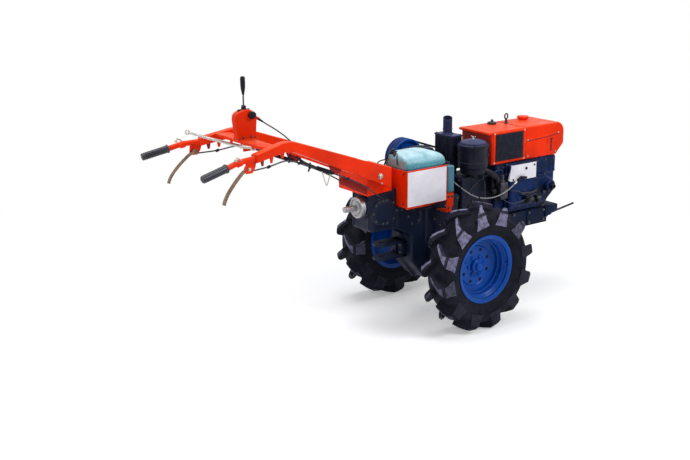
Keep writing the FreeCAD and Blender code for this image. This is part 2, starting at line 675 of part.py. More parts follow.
# ---------------------------------------------------------------------------------------
# Engine
# ---------------------------------------------------------------------------------------
engine = new_body("engine_body")
engine_side = outline(engine, "engine_side", "XZ", [
    ("engine_rear", "frame_top"), ("engine_nose_x", "frame_top"),
    ("engine_front", "engine_nose_z"), ("engine_front", "engine_top"),
    ("engine_rear", "engine_top"),
])
pad(engine, "engine_pad", engine_side, "2 * engine_half_width", both_ways=True)
crank_end = disc(engine, "crank_end", "XZ", "crank_radius", "crank_x", "crank_z",
                 "0 - engine_half_width")
pad(engine, "crank_stub", crank_end, f"{PULLEY_OUTER} + 8 - engine_half_width",
    backwards=True)
finish("engine_block", engine)

finish("cylinder_head", joined(
    "head_whole",
    block("barrel", "barrel_rear", "engine_rear", "0 - barrel_half_width",
          "barrel_half_width", "barrel_low", "barrel_top"),
    block("head", "head_rear", "barrel_rear", "0 - head_half_width", "head_half_width",
          "head_low", "head_top")))

cover = new_body("cover_body")
gear_side = outline(cover, "gear_side", "XZ", [
    ("cover_rear", "cover_low"), ("cover_front - 60", "cover_low"),
    ("cover_front", "cover_low + 50"), ("cover_front", "cover_step_z - 30"),
    ("cover_front - 55", "cover_step_z"), ("cover_step_x", "cover_step_z"),
    ("cover_step_x", "cover_top"), ("cover_rear", "cover_top"),
], "engine_half_width")
pad(cover, "gear_pad", gear_side, "cover_thickness")
boss = disc(cover, "boss_ring", "XZ", "boss_radius", "boss_x", "boss_z",
            "engine_half_width + cover_thickness")
pad(cover, "boss_pad", boss, "boss_length")
starter = disc(cover, "starter_ring", "XZ", "starter_radius", "boss_x", "boss_z",
               "engine_half_width + cover_thickness + boss_length")
pad(cover, "starter_pad", starter, "starter_length")
finish("gear_case_cover", cover)

plate = new_body("plate_body")
plate_side = outline(plate, "plate_side", "XZ", [
    ("plate_rear", "plate_low"), ("plate_front", "plate_low"), ("plate_front", "plate_top"),
    ("plate_rear + plate_slant", "plate_top"),
], "engine_half_width + cover_thickness")
pad(plate, "plate_pad", plate_side, "plate_thickness")

lever_y = "0 - engine_half_width - cover_thickness - plate_thickness"
finish("speed_lever", joined(
    "speed_whole",
    drum("speed_pivot", "9", "16", "plate_rear + 70", lever_y, "plate_low + 14", "-Y"),
    block("speed_arm", "plate_rear + 36", "plate_rear + 104", f"{lever_y} - 14",
          f"{lever_y} - 8", "plate_low + 4", "plate_low + 14")))

pump_back = "0 - engine_half_width - pump_depth"
finish("injection_pump", joined(
    "pump_whole",
    block("pump_body", "pump_x", "pump_x + pump_length", pump_back, "0 - engine_half_width",
          "pump_low", "pump_low + pump_height"),
    drum("pump_valve", "valve_radius", "valve_height", "pump_x + pump_length / 2",
         f"{pump_back} + pump_depth / 2", "pump_low + pump_height")))

# ---------------------------------------------------------------------------------------
# Flywheel, clutch pulley and belts. A pulley's own Z points to the tractor's left.
# ---------------------------------------------------------------------------------------
def grooved_rim(radius, first_corner, last_corner):
    """Corners of a rim with one groove for each belt, from the left end to the right."""
    corners = [first_corner]
    for i in reversed(range(int(size("belt_count")))):
        middle = f"{PULLEY_INNER} + belt_edge + {i} * belt_pitch"
        high = f"{middle} + groove_width / 2"
        low = f"{middle} - groove_width / 2"
        floor = f"{radius} - groove_depth"
        corners += [(radius, high), (floor, high), (floor, low), (radius, low)]
    corners.append(last_corner)
    return corners


flywheel = new_body("flywheel_body")
flywheel_bore = "crank_radius + running_gap"
turned(flywheel, "flywheel_turning", [
    (flywheel_bore, PULLEY_OUTER),
    *grooved_rim("engine_pulley_radius", ("engine_pulley_radius", PULLEY_OUTER),
                 ("engine_pulley_radius", f"{FLYWHEEL_OUTER} - flywheel_recess")),
    ("flywheel_radius - flywheel_rim", f"{FLYWHEEL_OUTER} - flywheel_recess"),
    ("flywheel_radius - flywheel_rim", FLYWHEEL_OUTER),
    ("flywheel_radius", FLYWHEEL_OUTER), ("flywheel_radius", FLYWHEEL_INNER),
    (flywheel_bore, FLYWHEEL_INNER),
])
finish("flywheel", flywheel, x="crank_x", z="crank_z", turn=ALONG["Y"])

pulley = new_body("pulley_body")
pulley_bore = "clutch_shaft_radius + running_gap"
pulley_inside = "clutch_pulley_radius - groove_depth - 8"
turned(pulley, "pulley_turning", [
    (pulley_bore, f"{PULLEY_OUTER} - 4"), ("40", f"{PULLEY_OUTER} - 4"),
    ("40", f"{PULLEY_OUTER} - pulley_web"), (pulley_inside, f"{PULLEY_OUTER} - pulley_web"),
    (pulley_inside, PULLEY_OUTER),
    *grooved_rim("clutch_pulley_radius", ("clutch_pulley_radius", PULLEY_OUTER),
                 ("clutch_pulley_radius", PULLEY_INNER)),
    (pulley_inside, PULLEY_INNER),
    (pulley_inside, f"{PULLEY_OUTER} - 2 * pulley_web"),
    ("48", f"{PULLEY_OUTER} - 2 * pulley_web"), ("48", PULLEY_INNER),
    (pulley_bore, PULLEY_INNER),
])
finish("clutch_pulley", pulley, x="clutch_x", z="clutch_z", turn=ALONG["Y"])


def belt_line(rear, rear_radius, front, front_radius):
    """Closed line of an open belt round two circles, in the plane of the belt."""
    between = front - rear
    slope = math.atan2(between.z, between.x)
    lead = math.acos((rear_radius - front_radius) / between.Length)
    edges = []
    touch = {}
    for name, centre, radius in (("rear", rear, rear_radius), ("front", front, front_radius)):
        for end, angle in (("top", slope + lead), ("low", slope - lead)):
            touch[name, end] = centre + Vector(math.cos(angle), 0, math.sin(angle)) * radius
    back = Vector(math.cos(slope + math.pi), 0, math.sin(slope + math.pi))
    ahead = Vector(math.cos(slope), 0, math.sin(slope))
    edges.append(Part.LineSegment(touch["rear", "top"], touch["front", "top"]).toShape())
    edges.append(Part.Arc(touch["front", "top"], front + ahead * front_radius,
                          touch["front", "low"]).toShape())
    edges.append(Part.LineSegment(touch["front", "low"], touch["rear", "low"]).toShape())
    edges.append(Part.Arc(touch["rear", "low"], rear + back * rear_radius,
                          touch["rear", "top"]).toShape())
    return Part.Wire(edges)


def belts_shape():
    """One loop for each groove, just clear of the groove's floor."""
    loops = []
    for i in range(int(size("belt_count"))):
        first_y = (size("hood_half_width") + size("flywheel_gap") + size("flywheel_width")
                   + size("pulley_gap") + size("belt_edge"))
        low_y = first_y + i * size("belt_pitch") - size("belt_width") / 2
        rear = Vector(size("clutch_x"), low_y, size("clutch_z"))
        front = Vector(size("crank_x"), low_y, size("crank_z"))
        floor = size("belt_gap") - size("groove_depth")
        rear_radius = size("clutch_pulley_radius") + floor
        front_radius = size("engine_pulley_radius") + floor
        thick = size("belt_thickness")
        outer = belt_line(rear, rear_radius + thick, front, front_radius + thick)
        inner = belt_line(rear, rear_radius, front, front_radius)
        run = Vector(0, size("belt_width"), 0)
        loops.append(Part.Face(outer).extrude(run).cut(Part.Face(inner).extrude(run)))
    return Part.makeCompound(loops)


finish("drive_belts", shaped("belt_loops", belts_shape()))

# ---------------------------------------------------------------------------------------
# Air cleaner, muffler and exhaust pipe
# ---------------------------------------------------------------------------------------
cleaner = new_body("cleaner_body")
cup = "cleaner_cup_height"
tall = "cleaner_top - head_top"
turned(cleaner, "cleaner_turning", [
    ("0", "0"), ("30", "0"), ("30", "12"), ("cleaner_cup_radius", "12"),
    ("cleaner_cup_radius", cup), ("cleaner_radius - 4", f"{cup} + 8"),
    ("cleaner_radius - 4", f"{tall} - cleaner_lid - 8"),
    ("cleaner_radius", f"{tall} - cleaner_lid"), ("cleaner_radius", f"{tall} - 14"),
    ("cleaner_radius - 8", f"{tall} - 5"), ("12", tall), ("0", tall),
])
finish("air_cleaner", cleaner, x="cleaner_x", y="cleaner_y", z="head_top")

muffler_box = rounded(
    "muffler_soft",
    block("muffler_block", "muffler_rear", "muffler_front", "muffler_right", "muffler_left",
          "muffler_low", "muffler_top"),
    "muffler_round", lambda edge: True)
muffler_hollow = less(
    "muffler_hollow", muffler_box,
    block("muffler_inside", "muffler_rear + 4", "muffler_front - 4", "muffler_right + 4",
          "muffler_left - 4", "muffler_low + muffler_round", "muffler_top - muffler_round"))
finish("muffler", joined(
    "muffler_whole", muffler_hollow,
    drum("muffler_neck", "neck_radius", "muffler_low - head_top + 3", "neck_x", "neck_y",
         "head_top")))


def pipe_shape():
    """Open pipe whose mouth is cut on a slant that faces the rear."""
    foot = Vector(size("pipe_x"), size("pipe_y"), size("muffler_top"))
    outer = Part.makeCylinder(size("pipe_radius"), size("pipe_height"), foot)
    inner = Part.makeCylinder(size("pipe_radius") - size("pipe_wall"), size("pipe_height"),
                              foot + Vector(0, 0, 6))
    knife = Part.makeBox(200, 200, 100, Vector(-100, -100, 0))
    knife.Placement = FreeCAD.Placement(
        foot + Vector(0, 0, size("pipe_height") - size("pipe_slant") / 2),
        Rotation(Vector(0, 1, 0), -size("pipe_slant")))
    return outer.cut(inner).cut(knife)


finish("exhaust_pipe", shaped("pipe_shape", pipe_shape()))

# ---------------------------------------------------------------------------------------
# Hood with its grille, caps and lifting eye
# ---------------------------------------------------------------------------------------
hood_body = new_body("hood_body")
hood_side = outline(hood_body, "hood_side", "XZ", [
    ("hood_rear", "hood_low"), ("hood_chin_x", "hood_low"), ("hood_front", "hood_cheek_z"),
    ("hood_front", "hood_nose_z"), ("hood_brow_x", "hood_top"), ("hood_rear", "hood_top"),
])
hood_pad = pad(hood_body, "hood_pad", hood_side, "2 * hood_half_width", both_ways=True)
nose_soft = soften(
    hood_body, "hood_nose_soft", hood_pad, "hood_nose_round",
    lambda edge: runs_along(edge, "y") and edge.CenterOfMass.x > size("hood_brow_x") - 1
    and edge.CenterOfMass.z > size("hood_low") + 1)
side_soft = soften(
    hood_body, "hood_side_soft", nose_soft, "hood_round",
    lambda edge: abs(abs(edge.CenterOfMass.y) - size("hood_half_width")) < 0.01
    and edge.CenterOfMass.z > size("hood_low") + 1
    and edge.CenterOfMass.x > size("hood_rear") + 1)
lip_side = outline(hood_body, "lip_side", "XZ", [
    ("hood_rear - hood_lip", "hood_top - hood_lip_thickness"),
    ("hood_rear", "hood_top - hood_lip_thickness"), ("hood_rear", "hood_top"),
    ("hood_rear - hood_lip", "hood_top"),
])
pad(hood_body, "lip_pad", lip_side, "2 * (hood_half_width - hood_round)", both_ways=True)
finish("hood", less(
    "hood_hollow", hood_body,
    block("hood_inside", "hood_rear + hood_wall", "hood_brow_x - 20",
          "hood_round - hood_half_width", "hood_half_width - hood_round",
          "hood_low + hood_wall", "hood_top - hood_wall")))

grille = block("grille_block", "0", "grille_front - grille_rear", "0", "grille_thickness",
               "0", "grille_high - grille_low")
finish("radiator_grille", grille, x="grille_rear", y="0 - hood_half_width - grille_thickness",
       z="grille_low")

radiator_cap = joined(
    "cap_whole",
    drum("cap_disc", "radiator_cap_radius", "radiator_cap_height", "radiator_cap_x",
         "radiator_cap_y", "hood_top"),
    drum("cap_knob", "radiator_knob_radius", "radiator_cap_height + radiator_knob_height",
         "radiator_cap_x", "radiator_cap_y", "hood_top"))
fuel_cap = drum("fuel_cap_disc", "fuel_cap_radius", "fuel_cap_height", "fuel_cap_x",
                "fuel_cap_y", "hood_top")

eye_plate = block("eye_plate", "eye_x - eye_width / 2", "eye_x + eye_width / 2",
                  "eye_y - eye_thickness / 2", "eye_y + eye_thickness / 2", "hood_top",
                  "hood_top + eye_height")
lifting_eye = less(
    "eye_bored", eye_plate,
    drum("eye_bore", "eye_hole", "eye_thickness + 20", "eye_x",
         "eye_y - eye_thickness / 2 - 10", "hood_top + eye_height - eye_width / 2", "Y"))
finish("hood_fittings", group("fitting_set", radiator_cap, fuel_cap, lifting_eye))

# ---------------------------------------------------------------------------------------
# Battery carrier on top of the case
# ---------------------------------------------------------------------------------------
box_top = "case_top + box_height"
finish("battery_box", less(
    "box_open",
    block("box_outer", "0 - box_rear", "0 - box_front", "box_right", "box_left", "case_top",
          box_top),
    block("box_inside", "box_wall - box_rear", "0 - box_front - box_wall",
          "box_right + box_wall", "box_left - box_wall", "case_top + box_wall",
          f"{box_top} + 10")))

label = block("label_block", "label_margin - box_rear", "0 - box_front - label_margin",
              "box_right - label_thickness", "box_right", "case_top + label_margin",
              f"{box_top} - label_margin")
finish("blank_plates", group("plate_pair", plate, label))

battery_inset = "box_wall + battery_gap"
battery_top = "case_top + box_wall + battery_height"
finish("battery", joined(
    "battery_whole",
    block("battery_case", f"{battery_inset} - box_rear", f"0 - box_front - ({battery_inset})",
          f"box_right + {battery_inset}", f"box_left - ({battery_inset})",
          "case_top + box_wall", f"{battery_top} - lid_height"),
    rounded("battery_lid_soft",
            block("battery_lid", f"{battery_inset} - lid_overhang - box_rear",
                  f"0 - box_front - ({battery_inset}) + lid_overhang",
                  f"box_right + {battery_inset} - lid_overhang",
                  f"box_left - ({battery_inset}) + lid_overhang",
                  f"{battery_top} - lid_height", battery_top),
            "lid_overhang", lambda edge: runs_along(edge, "z"))))

bracket_left = "box_right + bottle_width"
finish("battery_bracket", joined(
    "bracket_whole",
    block("bracket_shelf", "0 - box_front", "bracket_front", "box_right", bracket_left,
          "bracket_high - bracket_plate", "bracket_high"),
    block("bracket_web", "0 - box_front", "bracket_front", "box_right",
          "box_right + bracket_plate", "bracket_low", "bracket_high"),
    block("bracket_foot", "0 - box_front", "bracket_front", "box_right",
          "0 - case_half_width", "bracket_low", "bracket_low + bracket_plate")))

bottle = rounded(
    "bottle_soft",
    block("bottle_block", "0", "bottle_depth", "0", "bottle_width - 4", "0",
          "bottle_height"),
    "bottle_round", lambda edge: runs_along(edge, "z"))
finish("coolant_bottle", joined(
    "bottle_whole", bottle,
    drum("bottle_cap", "bottle_depth / 3", "12", "bottle_depth / 2", "bottle_width / 2",
         "bottle_height")),
       x="bracket_front - bottle_depth + 10", y="box_right + 2", z="bracket_high")

# ---------------------------------------------------------------------------------------
# Handlebar: base, two splayed arms, grips, brace and controls
# ---------------------------------------------------------------------------------------
splay_sine = math.sin(math.radians(size("arm_splay")))
splay_cosine = math.cos(math.radians(size("arm_splay")))
SPLAY = "tan(arm_splay * 1 deg)"


def arm_face_y(reach):
    """Rule for the half distance between the arms' inner faces at a reach behind the axle."""
    return f"(arm_root_y + (({reach}) - arm_root) * {SPLAY})"


def between_arms(name, rear, front, low, height):
    """Plate that fills the gap between the arms from one reach to another."""
    body = new_body(name)
    rear_y = f"({arm_face_y(rear)} - fit_gap)"
    front_y = f"({arm_face_y(front)} - fit_gap)"
    shape = outline(body, name + "_plan", "XY", [
        (f"0 - {rear}", f"0 - {rear_y}"), (f"0 - {rear}", rear_y),
        (f"0 - {front}", front_y), (f"0 - {front}", f"0 - {front_y}"),
    ], low)
    pad(body, name + "_rise", shape, height)
    return body


def stay(side):
    """Flat bar from the base to the rear, just inside an arm and below it."""
    sign = SIDE[side]
    outward = side == "left"
    body = new_body(side + "_stay")
    front = "arm_root - base_rear"
    sketch = outline(body, side + "_stay_side", "XZ", [
        (f"{front} + 20", "pto_case_top + 6"), (front, "pto_case_top + 6"),
        ("arm_root - stay_reach", "stay_low"),
        ("arm_root - stay_reach", "stay_low + stay_depth - 12"),
        ("arm_root - stay_reach + 24", "stay_low + stay_depth"),
        (f"{front} + 20", "pto_case_top + 6 + stay_depth"),
    ], f"{sign} * (fit_gap + 1)")
    pad(body, side + "_stay_pad", sketch, "stay_width", backwards=not outward)
    body.Placement = FreeCAD.Placement(
        Vector(-size("arm_root"), float(sign) * size("arm_root_y"), 0),
        Rotation(Vector(0, 0, 1), -float(sign) * size("arm_splay")))
    return body


base_block = between_arms("handle_base_body", "base_rear", "base_front", "pto_case_top",
                          "base_height")
finish("handle_base", joined("base_whole", base_block, stay("right")))

ARM_OUTSIDE = [
    ("0", "arm_root_low"), ("0", "arm_root_high"), ("0 - arm_bend", "arm_bend_high"),
    ("0 - arm_end", "arm_end_high"), ("0 - arm_end", "arm_end_low"),
    ("0 - arm_bend", "arm_bend_low"),
]
ARM_INSIDE = [
    ("0 - arm_wall", "arm_root_low + arm_wall + 1"),
    ("0 - arm_wall", "arm_root_high - arm_wall - 1"),
    ("0 - arm_bend + 60", "arm_bend_high - arm_wall - 26"),
    ("0 - arm_bend + 60", "arm_bend_low + arm_wall - 20"),
]


ARM_SLOPE = "((arm_bend_low - arm_root_low) / arm_bend)"
LEVER_PIVOT = ("0 - lever_plate_rear + 14", "lever_plate_low + 16")


def arm(side):
    """Tapered box arm with a tube for the grip, a plate for the turning lever and its pin."""
    sign = SIDE[side]
    outward = side == "left"
    shell = new_body(side + "_arm_shell")
    face = pad(shell, side + "_arm_pad",
               outline(shell, side + "_arm_side", "XZ", ARM_OUTSIDE), "arm_width",
               backwards=outward)
    soften(shell, side + "_arm_bend", face, "arm_bend_round",
           lambda edge: runs_along(edge, "y")
           and abs(edge.CenterOfMass.x + size("arm_bend")) < 1)
    core = new_body(side + "_arm_core")
    pad(core, side + "_arm_hollow",
        outline(core, side + "_arm_inside", "XZ", ARM_INSIDE,
                f"0 - {sign} * arm_wall"), "arm_width - 2 * arm_wall", backwards=outward)
    hollow = less(side + "_arm_box", shell, core)
    reach = size("rear_reach") - size("arm_root")
    middle_y = float(sign) * size("arm_width") / 2
    tube_z = (size("arm_end_high") + size("arm_end_low")) / 2
    start = Vector(-size("arm_end"), middle_y, tube_z)
    slope = size("tube_drop")
    elbow = start + Vector(-size("tube_lead"), 0, -size("tube_step"))
    length = reach / splay_cosine - size("arm_end") - size("tube_lead") - size("grip_cap")
    drop = length * math.tan(math.radians(slope))
    end = elbow + Vector(-length, 0, -drop)
    tube = shaped(side + "_tube", smooth_tube([start, elbow, end], size("tube_radius")))
    lever_plate = new_body(side + "_lever_plate")
    low_y = f"{sign} * (arm_width / 2 - lever_plate / 2)"
    plate_side = outline(lever_plate, side + "_plate_side", "XZ", [
        ("0 - lever_plate_rear", "arm_end_low + 10"),
        ("0 - lever_plate_rear - 6", "lever_plate_low"),
        ("0 - lever_plate_front - 16", "lever_plate_low"),
        ("0 - lever_plate_front", "arm_end_low + 12"),
    ], f"0 - {low_y}")
    pad(lever_plate, side + "_plate_pad", plate_side, "lever_plate", backwards=outward)
    guide = new_body(side + "_guide")
    guide_side = outline(guide, side + "_guide_side", "XZ", [
        ("0 - guide_front", f"arm_root_low + {ARM_SLOPE} * guide_front + 12"),
        ("0 - guide_rear", f"arm_root_low + {ARM_SLOPE} * guide_rear + 12"),
        ("0 - guide_rear + 22", f"arm_root_low + {ARM_SLOPE} * guide_rear - guide_depth"),
        ("0 - guide_front - 30", f"arm_root_low + {ARM_SLOPE} * guide_front - 14"),
    ], f"0 - {sign} * (arm_width / 2 - lever_plate / 2)")
    pad(guide, side + "_guide_pad", guide_side, "lever_plate", backwards=outward)
    pin_y = f"{sign} * (arm_width / 2 - lever_plate / 2 + 1)"
    pin = drum(side + "_lever_pin", "lever_pin_radius", "lever_width + side_gap + 4",
               LEVER_PIVOT[0], pin_y, LEVER_PIVOT[1], "-Y" if outward else "Y")
    finish(side + "_handle_arm",
           joined(side + "_arm_whole", hollow, tube, lever_plate, guide, pin),
           x="0 - arm_root", y=f"{sign} * arm_root_y",
           turn=Rotation(Vector(0, 0, 1), -float(sign) * size("arm_splay")))
    return elbow, end


def grip(side, elbow, end):
    """Rubber sleeve over the end of a handle tube."""
    along = (end - elbow).normalize()
    start = end - along * (size("grip_length") - size("grip_cap"))
    sleeve = Part.makeCylinder(size("grip_radius"), size("grip_length"), start, along)
    bore = Part.makeCylinder(size("tube_radius") + size("fit_gap"),
                             size("grip_length") - size("grip_cap"), start, along)
    sign = float(SIDE[side])
    feature = shaped(side + "_grip", sleeve.cut(bore))
    feature.Placement = FreeCAD.Placement(
        Vector(-size("arm_root"), sign * size("arm_root_y"), 0),
        Rotation(Vector(0, 0, 1), -sign * size("arm_splay")))
    return feature


def turning_lever(side):
    """Curved strip with an eye that turns on the pin of its plate."""
    outward = side == "left"
    body = new_body(side + "_lever_body")
    x, z = LEVER_PIVOT
    top = [(8, 11), (-22, -1), (-56, -24), (-87, -52), (-112, -81), (-131, -110), (-139, -134)]
    low = [(-125, -136), (-116, -113), (-98, -89), (-74, -67), (-48, -44), (-20, -22), (-2, -12)]
    corners = [(f"{x} + {right}", f"{z} + {up}") for right, up in top + low]
    start = "(arm_width / 2 - lever_plate / 2 - side_gap)"
    sketch = outline(body, side + "_lever_side", "XZ", corners,
                     f"0 - {start}" if outward else start)
    pad(body, side + "_lever_pad", sketch, "lever_width", backwards=not outward)
    eye = disc(body, side + "_lever_eye", "XZ", "lever_eye_radius", x, z,
               f"0 - {start}" if outward else start)
    pad(body, side + "_lever_eye_pad", eye, "lever_width", backwards=not outward)
    hole = disc(body, side + "_lever_hole", "XZ", "lever_pin_radius + running_gap", x, z,
                f"0 - {start}" if outward else start)
    pocket(body, side + "_lever_bore", hole, "3 * lever_width", both_ways=True)
    finish(side + "_turning_lever", body, x="0 - arm_root",
           y=f"{SIDE[side]} * arm_root_y",
           turn=Rotation(Vector(0, 0, 1), -float(SIDE[side]) * size("arm_splay")))


grips = []
for hand in ("left", "right"):
    elbow_point, end_point = arm(hand)
    grips.append(grip(hand, elbow_point, end_point))
    turning_lever(hand)
finish("handle_grips", group("grip_pair", *grips))

CABLE_POINTS = [
    (-1024, -20, 1117), (-1007, -50, 1099), (-985, -88, 1078), (-963, -124, 1054),
    (-944, -155, 1026), (-922, -168, 1000), (-885, -166, 982), (-835, -161, 964),
    (-765, -147, 938), (-700, -139, 908), (-635, -127, 884), (-570, -119, 856),
    (-505, -107, 834), (-440, -92, 824), (-388, -48, 826), (-345, 2, 830),
    (-285, 24, 828), (-215, 22.5, 824), (-145, 22.5, 824), (-80, 23, 820), (-22, 14, 804),
    (16, -34, 756), (40, -68, 714), (82, -96, 668), (134, -116, 624), (182, -128, 594),
    (238, -141, 579), (296, -154, 580), (350, -161, 594), (402, -164, 618),
    (440, -164, 644),
]

brace_low = "brace_top - brace_plate"
LUG_PIVOT = ("0 - lug_x", "lug_low + 16")
finish("cross_brace", joined(
    "brace_whole",
    between_arms("brace_body", "brace_rear", "brace_front", brace_low, "brace_plate"),
    block("clutch_lug", "0 - lug_x - 40", "0 - lug_x + 14", "lug_y", "lug_y + lug_thickness",
          "lug_low", f"{brace_low} + 1"),
    block("lug_bridge", "0 - brace_front - 1", "0 - lug_x + 14", "lug_y",
          "lug_y + lug_thickness", brace_low, "brace_top"),
    drum("clutch_pin", "clutch_pin_radius", "clutch_boss_width + side_gap + 5",
         LUG_PIVOT[0], "lug_y + 1", LUG_PIVOT[1], "-Y")))



def cable_gland():
    """Short collar that holds the throttle cable's outer casing at the column's front."""
    start, after = (Vector(*point) for point in CABLE_POINTS[:2])
    along = (after - start).normalize()
    return Part.makeCylinder(size("cable_radius") + 3, 22, start - along * 22, along)


column = new_body("column_body")
column_side = outline(column, "column_side", "XZ", [
    ("column_flare - column_rear", "brace_top"), ("0 - column_rear", "column_top - 22"),
    ("8 - column_rear", "column_top"),
    ("0 - (column_rear + column_front) / 2 - 14", "column_top + column_crown"),
    ("0 - (column_rear + column_front) / 2 + 14", "column_top + column_crown"),
    ("0 - column_front - 8", "column_top - 6"), ("0 - column_front", "column_top - 28"),
    ("0 - column_front - column_flare", "brace_top"),
])
column_pad = pad(column, "column_pad", column_side, "2 * column_half_width", both_ways=True)
SHIFT_PIVOT = "column_top + column_crown + shift_pin_rise"
ear_front = "0 - shift_x + shift_eye_radius + 1"
ear_rear = "0 - shift_x - shift_eye_radius - 1"
ear_near = "(shift_eye_width / 2 + side_gap)"
finish("control_column", joined(
    "column_whole", column,
    block("left_shift_ear", ear_rear, ear_front, ear_near, f"{ear_near} + shift_ear",
          "column_top", f"{SHIFT_PIVOT} + 7"),
    block("right_shift_ear", ear_rear, ear_front, f"0 - {ear_near} - shift_ear",
          f"0 - {ear_near}", "column_top", f"{SHIFT_PIVOT} + 7"),
    drum("shift_pin", "shift_pin_radius", f"2 * ({ear_near} + shift_ear)", "0 - shift_x",
         f"0 - {ear_near} - shift_ear", SHIFT_PIVOT, "Y"),
    drum("throttle_pin", "throttle_pin_radius", "throttle_depth - 3", "0 - throttle_x",
         "0 - column_half_width + 1", "throttle_z", "-Y"),
    shaped("cable_gland", cable_gland())))

shift_body = joined(
    "shift_whole",
    drum("shift_eye", "shift_eye_radius", "shift_eye_width", "0 - shift_x",
         "0 - shift_eye_width / 2", SHIFT_PIVOT, "Y"),
    drum("shift_rod", "shift_radius", "shift_height - shift_pin_rise", "0 - shift_x", "0",
         SHIFT_PIVOT))
finish("shift_lever", less(
    "shift_bored", shift_body,
    drum("shift_hole", "shift_pin_radius + running_gap", "shift_eye_width + 10",
         "0 - shift_x", "0 - shift_eye_width / 2 - 5", SHIFT_PIVOT, "Y")))
finish("shift_knob", drum("shift_knob_bar", "knob_radius", "knob_height", "0", "0", "0"),
       x="0 - shift_x", z="column_top + column_crown + shift_height")

finish("throttle_knob", less(
    "throttle_bored",
    drum("throttle_disc", "throttle_radius", "throttle_depth", "0 - throttle_x",
         "0 - column_half_width - side_gap", "throttle_z", "-Y"),
    drum("throttle_hole", "throttle_pin_radius + running_gap", "throttle_depth",
         "0 - throttle_x", "0 - column_half_width + 3", "throttle_z", "-Y")))


def clutch_lever_shape():
    """Bent bar with a boss that turns on the brace's pin."""
    outer_y = size("lug_y") - size("side_gap")
    width = size("clutch_boss_width")
    front = Vector(-size("lug_x"), outer_y - width / 2, size("lug_low") + 16)
    path = [front, front + Vector(-60, 0, 14), front + Vector(-170, 0, 52),
            front + Vector(-330, 0, 112)]
    bar = smooth_tube(path, size("clutch_lever_radius"))
    boss = Part.makeCylinder(size("clutch_boss_radius"), width,
                             Vector(front.x, outer_y - width, front.z), Vector(0, 1, 0))
    hole = Part.makeCylinder(size("clutch_pin_radius") + size("running_gap"), 3 * width,
                             Vector(front.x, outer_y - 2 * width, front.z), Vector(0, 1, 0))
    return bar.fuse(boss).cut(hole).removeSplitter()


finish("clutch_lever", shaped("clutch_lever_shape", clutch_lever_shape()))


def steering_rod(side):
    """Rod from the turning lever's plate, through its guide, to the side of the case."""
    sign = float(SIDE[side])
    near = size("pto_case_half_width")
    inside = size("arm_width") / 2 - size("lever_plate") / 2 - size("link_radius")

    def under(reach, z, outward=0.0):
        """Point just inside the plates of the arm at a reach behind the axle."""
        y = size("arm_root_y") + (reach - size("arm_root")) * splay_sine / splay_cosine
        return Vector(-reach, sign * (y + (inside - 0.1) / splay_cosine + outward), z)

    plate = size("arm_root") + (size("lever_plate_front") + 14) * splay_cosine
    path = [under(plate, size("lever_plate_low") + 5), under(1105, 948), under(1010, 958),
            under(930, 936), under(830, 895), under(700, 842), under(590, 792),
            under(505, 744, -4),
            Vector(-size("pto_case_rear") + 24, sign * (near + 34), size("pto_case_top") - 12),
            Vector(-size("pto_case_rear") + 54, sign * near, size("pto_case_top") - 22)]
    rod = smooth_tube(path, size("link_radius"), 0.3)
    case = Part.makeBox(400, 2 * near, 400, Vector(-size("pto_case_rear"), -near,
                                                   size("pto_case_top") - 300))
    return rod.cut(case)


finish("steering_rods", shaped("steering_rod_pair", Part.makeCompound(
    [steering_rod("left"), steering_rod("right")])))

# ---------------------------------------------------------------------------------------
# Throttle cable from the column, along the right arm and round the battery to the engine
# ---------------------------------------------------------------------------------------

def cable_shape():
    """Tube of straight runs and tangent arcs, and the radius of each of its bends."""
    points = [Vector(*point) for point in CABLE_POINTS]
    radii = []
    for before, corner, after in zip(points, points[1:], points[2:]):
        turn = (corner - before).getAngle(after - corner)
        shorter = min((corner - before).Length, (after - corner).Length)
        radii.append(0.45 * shorter / math.tan(turn / 2))
    print("cable radii", [round(radius) for radius in radii])
    tube = smooth_tube(points, size("cable_radius"))
    return tube


finish("throttle_cable", shaped("cable_tube", cable_shape()))

# ---------------------------------------------------------------------------------------
# Test every object, then write one file for each sub-part
# ---------------------------------------------------------------------------------------
doc.recompute()
for thing in doc.Objects:
    if {"Invalid", "Error"} & set(thing.State):
        raise RuntimeError(f"{thing.Label} failed: {thing.State}")
for node in NODES:
    if node.Shape.isNull() or not node.Shape.isValid() or not node.Shape.Solids:
        raise RuntimeError(f"{node.Label} has no valid solid")
for node in NODES:
    node.Shape.exportStep(f"parts/{node.Label}.step")
print(len(NODES), "sub-parts written")
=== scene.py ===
"""Looks of the two-wheel walking tractor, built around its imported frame.

Lengths in the making of pieces are millimetres measured from the wheel axle along X, from the
middle along Y and from the ground along Z.
"""
import math
import random
from itertools import product

import bmesh
import bpy
from mathutils import Matrix, Vector, noise


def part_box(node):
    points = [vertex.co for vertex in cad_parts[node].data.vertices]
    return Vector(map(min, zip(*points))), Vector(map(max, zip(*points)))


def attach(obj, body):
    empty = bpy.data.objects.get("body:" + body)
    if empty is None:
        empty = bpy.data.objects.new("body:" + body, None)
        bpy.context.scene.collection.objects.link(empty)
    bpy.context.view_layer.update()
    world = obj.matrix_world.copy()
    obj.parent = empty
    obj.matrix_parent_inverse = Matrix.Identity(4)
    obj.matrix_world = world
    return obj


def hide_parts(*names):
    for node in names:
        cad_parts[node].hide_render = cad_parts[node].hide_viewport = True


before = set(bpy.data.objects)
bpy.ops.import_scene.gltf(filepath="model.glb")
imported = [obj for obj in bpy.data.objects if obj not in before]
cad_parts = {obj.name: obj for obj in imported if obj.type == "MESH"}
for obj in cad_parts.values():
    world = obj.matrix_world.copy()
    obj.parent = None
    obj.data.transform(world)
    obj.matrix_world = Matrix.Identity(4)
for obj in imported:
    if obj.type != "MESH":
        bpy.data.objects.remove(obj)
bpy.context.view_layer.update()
random.seed(12)

